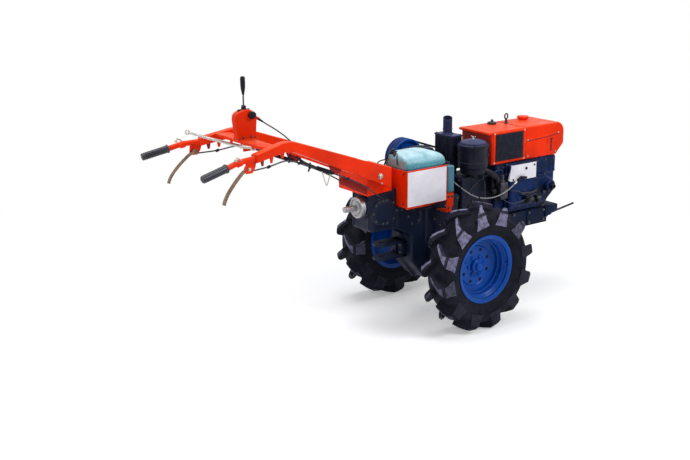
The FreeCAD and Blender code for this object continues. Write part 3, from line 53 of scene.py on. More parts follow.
WHEEL_LOW, WHEEL_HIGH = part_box("right_wheel_rim")
AXLE_X = (WHEEL_LOW.x + WHEEL_HIGH.x) / 2 * 1000
AXLE_Z = (WHEEL_LOW.z + WHEEL_HIGH.z) / 2 * 1000
TRACK = 710
MM = 0.001

CAMERA_PLACE = (-3.155, -3.994, 1.922)
CAMERA_TURN = (54.43, 15.95, -0.69)  # yaw, pitch down and roll, in degrees
LENS = 54.991304347826087
SURROUND_LIGHT = 0.48
FLOOR_GLOW = 0.26
FLOOR_REACH = 60
FLOOR_DROP = 0.0005
# Width of the edge mark, which is worn paint and painted highlight
EDGE_MARK_WIDTH = 0.0025
WHITE_FROM, WHITE_AT = 1.6, 3.4  # how far off the floor starts to whiten, and is white

FLYWHEEL_PLACE = (550, 0, 610)
PULLEY_PLACE = (-20, 0, 775)
BELT_LINES = (185, 205, 225)
PTO_PLACE = (-470, -20, 625)
HOOD_FACE = 116.5
CABLE_RADIUS = 0.003
SIDES = ("left", "right")


# ---------------------------------------------------------------------------------------
# Node trees
# ---------------------------------------------------------------------------------------
class Nodes:
    """Short way to build the node tree of a material, or of a world."""

    def __init__(self, name, world=None):
        self.material = world or bpy.data.materials.new(name)
        self.material.use_nodes = True
        self.nodes = self.material.node_tree.nodes
        self.links = self.material.node_tree.links
        if world:
            self.nodes.clear()
        else:
            self.shader = self.nodes["Principled BSDF"]
            self.place = self.add("TexCoord").outputs["Object"]

    def link(self, source, target):
        """Feed an input from a node, or set it to a number or an opaque colour."""
        if isinstance(source, bpy.types.NodeSocket):
            self.links.new(source, target)
        else:
            target.default_value = (*source, 1) if isinstance(source, tuple) else source

    def fill(self, node, inputs):
        """Give a node's inputs their values or what feeds them."""
        for key, source in inputs.items():
            self.link(source, node.inputs[key])

    def add(self, kind, inputs=None, **settings):
        node = self.nodes.new("ShaderNode" + kind)
        for key, value in settings.items():
            setattr(node, key, value)
        self.fill(node, inputs or {})
        return node

    def noise(self, scale, detail=4, rough=0.55):
        return self.add("TexNoise", {"Scale": scale, "Detail": detail, "Roughness": rough,
                                     "Vector": self.place}).outputs["Fac"]

    def spread(self, value, low, high, to_low=0.0, to_high=1.0):
        """Value carried from one range to another, held at the ends."""
        return self.add("MapRange", {"From Min": low, "From Max": high, "To Min": to_low,
                                     "To Max": to_high, "Value": value}).outputs["Result"]

    def mix(self, share, first, second):
        return self.add("Mix", {"Factor": share, "A": first, "B": second},
                        data_type="RGBA").outputs["Result"]

    def math(self, operation, first, second=0.0):
        return self.add("Math", {0: first, 1: second}, operation=operation).outputs[0]

    def facing_up(self):
        """Share by which a surface faces the sky."""
        normal = self.add("NewGeometry").outputs["Normal"]
        return self.add("SeparateXYZ", {0: normal}).outputs["Z"]

    def edges(self):
        """Share by which a point lies on a sharp edge."""
        bevel = self.add("Bevel", {"Radius": EDGE_MARK_WIDTH}, samples=4)
        geometry = self.add("NewGeometry")
        match = self.add("VectorMath", {0: bevel.outputs["Normal"],
                                        1: geometry.outputs["Normal"]},
                         operation="DOT_PRODUCT")
        return self.spread(match.outputs["Value"], 0.995, 0.9)

    def seen(self):
        """One for camera, glossy and transmission rays, which see the background as white."""
        path = self.add("LightPath").outputs
        most = path["Is Camera Ray"]
        for other in ("Is Glossy Ray", "Is Transmission Ray"):
            most = self.math("MAXIMUM", most, path[other])
        return most

    def finish(self, colour, rough, shine=None, grain=None, depth=0.0):
        """Feed the shader, with a fine grain in relief, and return the material."""
        self.fill(self.shader, {"Base Color": colour, "Roughness": rough})
        if shine is not None:
            self.shader.inputs["Specular IOR Level"].default_value = shine
        if grain:
            bump = self.add("Bump", {"Distance": depth, "Strength": 0.6,
                                     "Height": self.noise(*grain)})
            self.link(bump.outputs["Normal"], self.shader.inputs["Normal"])
        return self.material


# ---------------------------------------------------------------------------------------
# Camera, floor and light
# ---------------------------------------------------------------------------------------
def add_camera():
    """Camera to the right of the tractor and behind it, looking slightly down."""
    yaw, pitch, roll = (math.radians(angle) for angle in CAMERA_TURN)
    ahead = Vector((math.cos(yaw) * math.cos(pitch), math.sin(yaw) * math.cos(pitch),
                    -math.sin(pitch)))
    level = Vector((math.sin(yaw), -math.cos(yaw), 0))
    above = level.cross(ahead)
    right = level * math.cos(roll) + above * math.sin(roll)
    up = above * math.cos(roll) - level * math.sin(roll)
    turn = Matrix((right, up, -ahead)).transposed().to_4x4()
    data = bpy.data.cameras.new("camera")
    data.sensor_width = 36
    data.lens = LENS
    camera = bpy.data.objects.new("camera", data)
    camera.matrix_world = Matrix.Translation(CAMERA_PLACE) @ turn
    bpy.context.scene.collection.objects.link(camera)
    bpy.context.scene.camera = camera


def add_lamp(name, place, target, size, power):
    """Soft square lamp aimed at a point."""
    data = bpy.data.lights.new(name, "AREA")
    data.shape = "SQUARE"
    data.size = size
    data.energy = power
    lamp = bpy.data.objects.new(name, data)
    lamp.location = place
    lamp.rotation_euler = (Vector(target) - Vector(place)).to_track_quat("-Z", "Y").to_euler()
    bpy.context.scene.collection.objects.link(lamp)


def add_world():
    """White surroundings for the camera and for reflections, softer light for the rest."""
    world = bpy.data.worlds.new("studio")
    bpy.context.scene.world = world
    tree = Nodes("studio", world)
    soft = tree.add("Background", {"Color": (0.92, 0.95, 1), "Strength": SURROUND_LIGHT})
    white = tree.add("Background", {"Color": (1, 1, 1), "Strength": 1.0})
    mix = tree.add("MixShader", {"Fac": tree.seen(), 1: soft.outputs[0], 2: white.outputs[0]})
    tree.add("OutputWorld", {"Surface": mix.outputs[0]})


def add_floor():
    """Wide pale floor that takes the shadow near the tractor and turns white further off."""
    mesh = bpy.data.meshes.new("floor")
    r = FLOOR_REACH
    mesh.from_pydata([(-r, -r, 0), (r, -r, 0), (r, r, 0), (-r, r, 0)], [], [(0, 1, 2, 3)])
    floor = bpy.data.objects.new("floor", mesh)
    floor.location.z = -FLOOR_DROP
    bpy.context.scene.collection.objects.link(floor)
    tree = Nodes("floor")
    seen = tree.seen()
    tree.finish((0.9, 0.9, 0.9), 0.95, 0.0)
    tree.fill(tree.shader, {"Emission Color": (1, 1, 1),
                            "Emission Strength": tree.math("MULTIPLY", seen, FLOOR_GLOW)})
    away = tree.add("VectorMath", {0: tree.place}, operation="LENGTH")
    far = tree.add("MapRange", {"From Min": WHITE_FROM, "From Max": WHITE_AT,
                                "Value": away.outputs["Value"]},
                   interpolation_type="SMOOTHSTEP")
    blend = tree.add("MixShader", {"Fac": tree.math("MULTIPLY", far.outputs["Result"], seen),
                                   1: tree.shader.outputs[0],
                                   2: tree.add("Emission").outputs[0]})
    tree.link(blend.outputs[0], tree.nodes["Material Output"].inputs["Surface"])
    mesh.materials.append(tree.material)


bpy.context.scene.view_settings.view_transform = "Standard"
add_camera()
add_world()
add_floor()
add_lamp("key", (2.2, -4.2, 4.6), (0.2, 0, 0.5), 2.4, 165)
add_lamp("top", (-0.3, 0.6, 5.2), (0.1, 0, 0.5), 3.0, 96)
add_lamp("rear", (-4.6, 0.6, 2.6), (0, 0, 0.6), 2.6, 57)


# ---------------------------------------------------------------------------------------
# Materials
# ---------------------------------------------------------------------------------------
def shade(colour, share):
    return tuple(min(1, c * share) for c in colour)


def paint(name, colour, rough=0.35, grain=900, grain_depth=0.00012, worn=0.5, under=None,
          dust_and_light=0.25, dust_and_light_colour=(0.32, 0.29, 0.27), coat=0.0, shine=0.3, grime=0.0):
    """Enamel with uneven colour, fine grain and oily dirt; edges mix worn paint with painted
    highlight, and what faces up mixes dust with painted top light.
    """
    tree = Nodes(name)
    patches = tree.noise(6, 5)
    base = tree.mix(tree.spread(patches, 0.35, 0.65), shade(colour, 0.84), shade(colour, 1.1))
    specks = tree.spread(tree.noise(230, 2), 0.62, 0.72, 0, 0.35)
    base = tree.mix(specks, base, shade(colour, 0.55))
    if grime:
        base = tree.mix(tree.spread(tree.noise(9, 7, 0.68), 0.42, 0.6, 0, grime), base,
                        (0.004, 0.005, 0.010))
    # Dust and painted top light: surfaces facing up mix towards the dust colour, a paler lit tone
    # for several paints
    up = tree.math("MULTIPLY", tree.spread(tree.facing_up(), 0.35, 0.95),
                   tree.spread(tree.noise(11, 6), 0.3, 0.7, 0.2, 1.0))
    base = tree.mix(tree.math("MULTIPLY", up, dust_and_light), base, dust_and_light_colour)
    # Worn edges and painted edge highlight: sharp edges mix towards the under colour, paler than
    # the paint for most finishes
    rims = tree.math("MULTIPLY", tree.edges(),
                     tree.spread(tree.noise(38, 5), 0.52 - 0.08 * worn, 0.6))
    rims = tree.math("MULTIPLY", rims, worn)
    base = tree.mix(rims, base, under or (0.16, 0.13, 0.12))
    gloss = tree.spread(tree.noise(17, 6), 0.3, 0.7, rough * 0.75, rough * 1.35)
    gloss = tree.math("MAXIMUM", gloss, tree.math("MULTIPLY", up, 0.7))
    tree.fill(tree.shader, {"Coat Weight": coat, "Coat Roughness": 0.2})
    return tree.finish(base, gloss, shine, (grain, 3), grain_depth)


def metal(name, colour, rough=0.35, stain=(0.13, 0.07, 0.04), stained=0.35, grain=500):
    """Bare metal with rust or oil stains and fine scratches."""
    tree = Nodes(name)
    blotch = tree.spread(tree.noise(23, 6), 0.5, 0.72, 0, stained)
    base = tree.mix(tree.spread(tree.noise(60, 3), 0.3, 0.7), shade(colour, 0.75),
                    shade(colour, 1.15))
    tree.fill(tree.shader, {"Metallic": 0.85})
    gloss = tree.spread(tree.noise(40, 5), 0.3, 0.7, rough * 0.7, rough * 1.5)
    return tree.finish(tree.mix(blotch, base, stain), gloss, None, (grain, 4), 0.00008)


def rubber(name, colour, rough=0.75, grain=700, dust_and_highlight_colour=(0.11, 0.095, 0.12), amount=0.3,
           attribute=None, shine=0.2):
    """Rubber with moulded grain and a film of dust; where an attribute says, more of that colour,
    which there also stands for painted highlight.
    """
    tree = Nodes(name)
    base = tree.mix(tree.spread(tree.noise(30, 5), 0.35, 0.65), shade(colour, 0.7),
                    shade(colour, 1.4))
    share = tree.spread(tree.noise(13, 7, 0.65), 0.38, 0.66, 0.1, 1.0)
    share = tree.math("MULTIPLY", share, amount)
    # The attribute adds dust mixed with painted highlight
    if attribute:
        node = tree.add("Attribute", attribute_name=attribute)
        share = tree.math("ADD", share, tree.math(
            "MULTIPLY", node.outputs["Fac"], tree.spread(tree.noise(55, 6), 0.36, 0.56, 0.35, 1)))
    share = tree.math("MINIMUM", share, 0.9)
    gloss = tree.spread(share, 0, 0.8, rough * 0.75, 0.9)
    return tree.finish(tree.mix(share, base, dust_and_highlight_colour), gloss, shine, (grain, 4), 0.0002)


def plastic(name, colour, rough=0.4, dust_and_light=0.2, dust_and_light_colour=(0.5, 0.5, 0.5), grain=1300,
            speckle=0.0, speckle_colour=(1, 1, 1), shine=0.35):
    """Moulded plastic with a fine texture; what faces up mixes dust with painted top light."""
    tree = Nodes(name)
    base = tree.mix(tree.spread(tree.noise(9, 4), 0.35, 0.65), shade(colour, 0.85),
                    shade(colour, 1.12))
    # Dust and painted top light on surfaces that face up
    up = tree.math("MULTIPLY", tree.spread(tree.facing_up(), 0.15, 0.9),
                   tree.spread(tree.noise(16, 6), 0.3, 0.68, 0.35, 1.0))
    base = tree.mix(tree.math("MULTIPLY", up, dust_and_light), base, dust_and_light_colour)
    if speckle:
        dots = tree.spread(tree.noise(160, 4, 0.7), 0.5, 0.66, 0, speckle)
        base = tree.mix(dots, base, speckle_colour)
    gloss = tree.spread(tree.noise(25, 5), 0.3, 0.7, rough * 0.8, rough * 1.3)
    return tree.finish(base, gloss, shine, (grain, 2), 0.0001)


# Pale orange edge colour is a painted highlight; pale top colour is painted top light mixed with
# dust
ORANGE = paint("orange_enamel", (0.84, 0.028, 0.001), 0.38, worn=0.6, dust_and_light=0.38,
               dust_and_light_colour=(0.64, 0.22, 0.08), under=(0.86, 0.30, 0.14), coat=0.02,
               shine=0.08)
# Orange darkened to red: painted shade, for orange parts that sit in shadow
SHADED_ORANGE = paint("orange_enamel_painted_shade", (0.28, 0.014, 0.012), 0.55, worn=0.3, dust_and_light=0.1, shine=0.2)
# Paler blue edge colour: painted highlight on the rim's ridges, mixed with wear
RIM_BLUE = paint("rim_blue_enamel", (0.001, 0.058, 0.32), 0.3, worn=0.25, dust_and_light=0.04,
                 under=(0.06, 0.16, 0.44), dust_and_light_colour=(0.06, 0.15, 0.42), coat=0.04,
                 shine=0.12)
ENGINE_BLUE = paint("engine_blue_enamel", (0.002, 0.018, 0.095), 0.4, 240, 0.0004, 0.25,
                    under=(0.06, 0.09, 0.22), dust_and_light=0.12, dust_and_light_colour=(0.05, 0.07, 0.19),
                    shine=0.1, grime=0.8)
FRAME_BLUE = paint("frame_blue_enamel", (0.002, 0.010, 0.040), 0.45, 240, 0.0004, 0.2,
                   under=(0.04, 0.06, 0.14), dust_and_light=0.15, dust_and_light_colour=(0.03, 0.035, 0.08),
                   shine=0.08, grime=0.6)
NAVY = paint("navy_casting", (0.005, 0.009, 0.026), 0.45, 200, 0.0005, 0.22,
             under=(0.05, 0.055, 0.08), dust_and_light=0.18, dust_and_light_colour=(0.05, 0.05, 0.09),
             shine=0.16)
BLACK_PAINT = paint("black_heat_paint", (0.006, 0.008, 0.020), 0.42, 500, 0.0002, 0.25,
                    under=(0.09, 0.08, 0.13), dust_and_light=0.35, dust_and_light_colour=(0.07, 0.075, 0.15),
                    shine=0.16)
# Lighter navy for the air cleaner lid, muffler top plate and exhaust pipe: painted top light
# mixed with dust
LID = paint("navy_enamel_dust_and_light", (0.022, 0.025, 0.075), 0.4, 300, 0.0003, 0.3,
            under=(0.10, 0.08, 0.09), dust_and_light=0.7, dust_and_light_colour=(0.085, 0.09, 0.20), shine=0.14)
WHITE = paint("white_plate", (0.82, 0.79, 0.85), 0.4, worn=0.2, dust_and_light=0.0,
              under=(0.35, 0.33, 0.33))
STEEL = metal("bare_steel", (0.38, 0.38, 0.40))
DULL_STEEL = metal("oily_steel", (0.07, 0.07, 0.085), 0.45, (0.02, 0.014, 0.012), 0.5)
ZINC = metal("zinc_plate", (0.50, 0.49, 0.46), 0.32, (0.25, 0.18, 0.1), 0.25)
LEVER = metal("worn_lever", (0.22, 0.15, 0.10), 0.4, (0.05, 0.03, 0.02), 0.6)
TYRE = rubber("tyre_rubber", (0.005, 0.006, 0.010), 0.8, dust_and_highlight_colour=(0.24, 0.23, 0.36),
              attribute="dust_and_light", amount=0.03, shine=0.06)
RUBBER = rubber("black_rubber", (0.006, 0.007, 0.012), 0.6, dust_and_highlight_colour=(0.04, 0.04, 0.06),
                shine=0.15)
GRIP = rubber("grip_rubber", (0.008, 0.009, 0.015), 0.3, dust_and_highlight_colour=(0.08, 0.08, 0.12),
              amount=0.25, shine=0.45)
# Pale top colour at full strength: painted top light on the battery lid, with some dust
TEAL = plastic("teal_plastic", (0.050, 0.24, 0.30), 0.34, 1.0, (0.62, 0.86, 0.94),
               speckle=0.4, speckle_colour=(0.30, 0.62, 0.70))
TEAL_DARK = plastic("teal_bottle", (0.045, 0.17, 0.24), 0.3, 0.4, (0.25, 0.5, 0.6))
WORN_PALE = plastic("worn_pale_plastic", (0.24, 0.29, 0.29), 0.5, 0.1, speckle=0.7,
                    speckle_colour=(0.07, 0.07, 0.06))
BLACK = plastic("black_plastic", (0.006, 0.006, 0.012), 0.4, 0.2, (0.07, 0.07, 0.10),
                shine=0.18)

# The slot that goes with each material, unless a piece says otherwise
SLOTS = {material.name: slot for slot, materials in (
    ("orange_paint", (ORANGE, SHADED_ORANGE)), ("deep_blue_paint", (RIM_BLUE, ENGINE_BLUE)),
    ("dark_navy_paint", (FRAME_BLUE, NAVY, BLACK_PAINT, LID)), ("white_paint", (WHITE,)),
    ("bare_steel", (STEEL, DULL_STEEL, ZINC, LEVER)), ("tyre_rubber", (TYRE,)),
    ("black_rubber", (RUBBER, GRIP)), ("teal_plastic", (TEAL, TEAL_DARK, WORN_PALE)),
    ("black_plastic", (BLACK,))) for material in materials}


# ---------------------------------------------------------------------------------------
# Mesh making
# ---------------------------------------------------------------------------------------
AXES = {"x": Vector((1, 0, 0)), "y": Vector((0, 1, 0)), "z": Vector((0, 0, 1)),
        "-x": Vector((-1, 0, 0)), "-y": Vector((0, -1, 0)), "-z": Vector((0, 0, -1))}


def aim(axis):
    """Rotation that carries +Z onto an axis."""
    axis = AXES[axis] if isinstance(axis, str) else Vector(axis)
    return axis.to_track_quat("Z", "Y").to_matrix().to_4x4()


def put(place, axis):
    """Matrix that carries +Z onto an axis through a place."""
    return Matrix.Translation(place) @ aim(axis)


def ray(angle):
    """Unit vector in the plane of X and Y."""
    return Vector((math.cos(angle), math.sin(angle), 0))


def smooth_path(points, steps=6):
    """Points along a curve that passes through the given ones."""
    points = [Vector(p) for p in points]
    line = [points[0] * 2 - points[1], *points, points[-1] * 2 - points[-2]]
    out = []
    for a, b, c, d in zip(line, line[1:], line[2:], line[3:]):
        for i in range(steps):
            t = i / steps
            out.append(0.5 * (2 * b + (c - a) * t + (2 * a - 5 * b + 4 * c - d) * t * t
                              + (3 * b - a - 3 * c + d) * t ** 3))
    return out + [points[-1]]


def circle(x, y, radius, steps, start=0.0, sweep=2 * math.pi, extra=0):
    """Points round a centre, or along part of the way round, with extra ones past the last."""
    return [(x + radius * math.cos(start + sweep * i / steps),
             y + radius * math.sin(start + sweep * i / steps)) for i in range(steps + extra)]


def skin(part, rings):
    """Faces between each ring of points and the next."""
    for one, two in zip(rings, rings[1:]):
        for i in range(len(one)):
            j = (i + 1) % len(one)
            part.faces.new((one[i], one[j], two[j], two[i]))


def pair(sign, one, two):
    """Two distances to one side of the middle, the lower first."""
    return sorted((sign * one, sign * two))


class Shape:
    """Mesh that grows from simple closed solids."""

    def __init__(self, turn=None):
        self.mesh = bmesh.new()
        self.turn = turn

    def take(self, part, bevel=0.0, segments=2):
        """Round a part's sharp edges and add it."""
        bmesh.ops.recalc_face_normals(part, faces=part.faces)
        if bevel:
            sharp = [e for e in part.edges if e.is_manifold and e.calc_face_angle(0) > 0.5]
            bmesh.ops.bevel(part, geom=sharp, offset=bevel, segments=segments, profile=0.6,
                            affect="EDGES", clamp_overlap=True)
        if self.turn:
            bmesh.ops.transform(part, matrix=self.turn, verts=part.verts)
        spare = bpy.data.meshes.new("part")
        part.to_mesh(spare)
        part.free()
        self.mesh.from_mesh(spare)
        bpy.data.meshes.remove(spare)
        return self

    def block(self, low, high, bevel=2.0, segments=2):
        """Box between two corners."""
        part = bmesh.new()
        size = Vector(high) - Vector(low)
        middle = (Vector(high) + Vector(low)) / 2
        bmesh.ops.create_cube(part, size=1, matrix=Matrix.Translation(middle)
                              @ Matrix.Diagonal((*size, 1)))
        return self.take(part, bevel, segments)

    def prism(self, corners, low, high, along="y", bevel=2.0, segments=2):
        """Outline raised along an axis. Corners are in the plane of the other two axes."""
        part = bmesh.new()
        spots = {"x": lambda a, b, h: (h, a, b), "y": lambda a, b, h: (a, h, b),
                 "z": lambda a, b, h: (a, b, h)}[along]
        first = [part.verts.new(spots(a, b, low)) for a, b in corners]
        last = [part.verts.new(spots(a, b, high)) for a, b in corners]
        part.faces.new(first)
        part.faces.new(last)
        for i in range(len(corners)):
            j = (i + 1) % len(corners)
            part.faces.new((first[i], first[j], last[j], last[i]))
        return self.take(part, bevel, segments)

    def loft(self, rings, bevel=0.0, segments=2):
        """Skin through rings of the same number of points, closed at both ends."""
        part = bmesh.new()
        rings = [[part.verts.new(spot) for spot in ring] for ring in rings]
        skin(part, rings)
        part.faces.new(rings[0])
        part.faces.new(rings[-1])
        return self.take(part, bevel, segments)

    def lathe(self, profile, centre=(0, 0, 0), axis="z", steps=48, start=0.0):
        """Closed profile of radius and height, turned about an axis through a centre."""
        part = bmesh.new()
        rings = []
        for radius, height in profile:
            if radius < 0.01:
                rings.append([part.verts.new((0, 0, height))])
                continue
            rings.append([part.verts.new((*spot, height))
                          for spot in circle(0, 0, radius, steps, start)])
        closed = len(rings[0]) > 1 and len(rings[-1]) > 1
        pairs = list(zip(rings, rings[1:])) + ([(rings[-1], rings[0])] if closed else [])
        for one, two in pairs:
            for i in range(steps):
                j = (i + 1) % steps
                if len(one) == 1 and len(two) == 1:
                    continue
                if len(one) == 1:
                    part.faces.new((one[0], two[i], two[j]))
                elif len(two) == 1:
                    part.faces.new((one[i], two[0], one[j]))
                else:
                    part.faces.new((one[i], two[i], two[j], one[j]))
        bmesh.ops.transform(part, matrix=put(centre, axis), verts=part.verts)
        return self.take(part)

    def drum(self, centre, axis, radius, length, bevel=1.5, steps=32, hole=0.0):
        """Cylinder from a centre along an axis, with softened rims and perhaps a bore."""
        b = min(bevel, radius / 3, length / 3)
        outer = [(radius - b, 0), (radius, b), (radius, length - b), (radius - b, length)]
        if hole:
            return self.lathe([(hole, 0), *outer, (hole, length)], centre, axis, steps)
        return self.lathe([(0, 0), *outer, (0, length)], centre, axis, steps)

    def rod(self, points, radius, steps=10, smooth=6, flat=1.0, radii=None):
        """Round or flattened bar along a smooth line."""
        line = smooth_path(points, smooth) if smooth else [Vector(p) for p in points]
        part = bmesh.new()
        rings = []
        tangent = (line[1] - line[0]).normalized()
        side = tangent.orthogonal().normalized() if abs(tangent.z) > 0.95 else \
            tangent.cross(AXES["z"]).normalized()
        for i, point in enumerate(line):
            near = line[max(i - 1, 0)]
            far = line[min(i + 1, len(line) - 1)]
            along = (far - near).normalized()
            side = (side - along * side.dot(along)).normalized()
            other = along.cross(side)
            r = radius if radii is None else radius * radii(i / (len(line) - 1))
            rings.append([part.verts.new(point + (side * math.cos(a) * flat + other
                                                  * math.sin(a)) * r)
                          for a in (2 * math.pi * k / steps for k in range(steps))])
        skin(part, rings)
        part.faces.new(rings[0][::-1])
        part.faces.new(rings[-1])
        return self.take(part)

    def bolt(self, centre, axis, size=7.0, stand=0.0, washer=True):
        """Hexagon head with a washer under it and a domed top."""
        axis = AXES[axis] if isinstance(axis, str) else Vector(axis).normalized()
        centre = Vector(centre)
        if washer:
            self.drum(centre, axis, size * 1.35, size * 0.25, 0.4, 20)
        foot = centre + axis * size * 0.2
        self.lathe([(0, 0), (size * 1.12, 0), (size * 1.12, size * 0.6 + stand),
                    (size * 0.9, size * 0.75 + stand), (0, size * 0.8 + stand)], foot, axis, 6,
                   random.random())
        return self

    def ring_of_bolts(self, centre, axis, radius, count, size=7.0, start=0.0):
        turn = aim(axis)
        for spot in circle(0, 0, radius, count, start):
            self.bolt(Vector(centre) + turn @ Vector((*spot, 0)), axis, size)
        return self

    def cast(self, voxel=4.0, passes=3):
        """Merge everything into one skin with soft inside corners, like a casting."""
        spare = bpy.data.meshes.new("cast")
        self.mesh.to_mesh(spare)
        holder = bpy.data.objects.new("cast", spare)
        bpy.context.scene.collection.objects.link(holder)
        remesh = holder.modifiers.new("remesh", "REMESH")
        remesh.mode = "VOXEL"
        remesh.voxel_size = voxel
        soft = holder.modifiers.new("soft", "SMOOTH")
        soft.factor = 0.5
        soft.iterations = passes
        done = bpy.data.meshes.new_from_object(
            holder.evaluated_get(bpy.context.evaluated_depsgraph_get()))
        self.mesh.clear()
        self.mesh.from_mesh(done)
        bpy.data.objects.remove(holder)
        bpy.data.meshes.remove(spare)
        bpy.data.meshes.remove(done)
        return self

    def piece(self, name, material, *replaced, slot=None, body="chassis", angle=35):
        """Finish the mesh as a piece that rides on a body and takes the place of CAD nodes."""
        bmesh.ops.transform(self.mesh, matrix=Matrix.Diagonal((MM, MM, MM, 1))
                            @ Matrix.Translation((AXLE_X, 0, 0)), verts=self.mesh.verts)
        bmesh.ops.remove_doubles(self.mesh, verts=self.mesh.verts, dist=1e-6)
        mesh = bpy.data.meshes.new(name)
        self.mesh.to_mesh(mesh)
        self.mesh.free()
        mesh.shade_smooth()
        mesh.set_sharp_from_angle(angle=math.radians(angle))
        mesh.materials.append(material)
        item = bpy.data.objects.new(name, mesh)
        bpy.context.scene.collection.objects.link(item)
        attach(item, body)
        slot = slot or SLOTS[material.name]
        if replaced:
            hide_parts(*replaced)
        return item


def mirrored(side):
    return 1 if side == "left" else -1


fasteners = {}


def bolts(body="chassis"):
    """The shape that gathers one body's bolts."""
    if body not in fasteners:
        fasteners[body] = Shape()
    return fasteners[body]


# ---------------------------------------------------------------------------------------
# Throttle cable
# ---------------------------------------------------------------------------------------
CABLE_POINTS = [
    (-1024, -20, 1117), (-1007, -50, 1099), (-985, -88, 1078), (-963, -124, 1054),
    (-944, -155, 1026), (-922, -168, 1000), (-885, -166, 982), (-835, -161, 964),
    (-765, -147, 938), (-700, -139, 908), (-635, -127, 884), (-570, -119, 856),
    (-505, -107, 834), (-440, -92, 824), (-388, -48, 826), (-345, 2, 830),
    (-285, 24, 828), (-215, 22.5, 824), (-145, 22.5, 824), (-80, 23, 820), (-22, 14, 804),
    (16, -34, 756), (40, -68, 714), (82, -96, 668), (134, -116, 624), (182, -128, 594),
    (238, -141, 579), (296, -154, 580), (350, -161, 594), (402, -164, 618),
    (440, -164, 644),
]


def casing():
    """Black by the column, worn to pale towards the engine."""
    tree = Nodes("cable_casing")
    split = tree.add("SeparateXYZ", {0: tree.place})
    share = tree.math("MULTIPLY", tree.spread(split.outputs["X"], -0.02, 0.16),
                      tree.spread(tree.noise(60), 0.3, 0.6, 0.5, 1))
    return tree.finish(tree.mix(share, (0.006, 0.006, 0.011), (0.33, 0.32, 0.34)), 0.5)


def add_cable():
    curve = bpy.data.curves.new("throttle_cable_cord", "CURVE")
    curve.dimensions = "3D"
    line = curve.splines.new("NURBS")
    line.points.add(len(CABLE_POINTS) - 1)
    for spot, (x, y, z) in zip(line.points, CABLE_POINTS):
        spot.co = ((x + AXLE_X) * MM, y * MM, z * MM, 1)
    line.order_u = 3
    line.use_endpoint_u = True
    curve.resolution_u = 8
    curve.bevel_depth = CABLE_RADIUS
    curve.bevel_resolution = 3
    curve.use_fill_caps = True
    curve.materials.append(casing())
    cable = bpy.data.objects.new("throttle_cable_cord", curve)
    bpy.context.scene.collection.objects.link(cable)
    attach(cable, "chassis")
    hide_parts("throttle_cable")


add_cable()


def cable_fittings():
    """Tapered boot at the column, end fitting at the engine and the ties along the way."""
    first, second = (Vector(point) for point in CABLE_POINTS[:2])
    boot = Shape()
    boot.lathe([(0, -10), (6.4, -10), (6.4, 0), (5.2, 3), (5.2, 6), (4.9, 7), (4.9, 11),
                (4.4, 12), (4.4, 16), (4.0, 17), (3.9, 24), (0, 24)], first, second - first,
              20)
    for i in (7, 9, 11, 13, 23, 25):
        here, there = Vector(CABLE_POINTS[i]), Vector(CABLE_POINTS[i + 1])
        along = (there - here).normalized()
        boot.drum(here + along * 20, along, 4.8, 8, 0.8, 16)
    boot.piece("cable_boot_and_ties", RUBBER)
    end = Shape()
    here = Vector(CABLE_POINTS[-1])
    along = (here - Vector(CABLE_POINTS[-2])).normalized()
    end.drum(here - along * 20, along, 4.2, 20, 0.6, 16)
    end.drum(here - along * 10, along, 6.5, 5, 0.6, 6)
    end.piece("cable_end_ferrule", ZINC)


cable_fittings()


# ---------------------------------------------------------------------------------------
# Wheels
# ---------------------------------------------------------------------------------------
LUGS = 12


def lug(tyre, angle, sign, lean):
    """Tall bar from near the middle of the tread to a broad end on the shoulder."""
    rings = []
    # Distance from the middle, foot radius, top radius, half width at the foot and the top
    for across, foot, top, low_half, top_half in (
            (4, 268, 312, 24, 8), (34, 266, 315, 28, 9), (62, 256, 314, 33, 11),
            (76, 238, 301, 38, 22), (82, 226, 287, 42, 28)):
        turn = angle + lean * (82 - across) / 82
        waist = foot + 0.5 * (top - foot)
        rings.append([(r * math.cos(turn + off / r), r * math.sin(turn + off / r),
                       sign * across)
                      for r, off in ((foot, -low_half), (waist, -1.12 * top_half),
                                     (top, -top_half), (top, top_half),
                                     (waist, 1.12 * top_half), (foot, low_half))])
    tyre.loft(rings, 1.8)


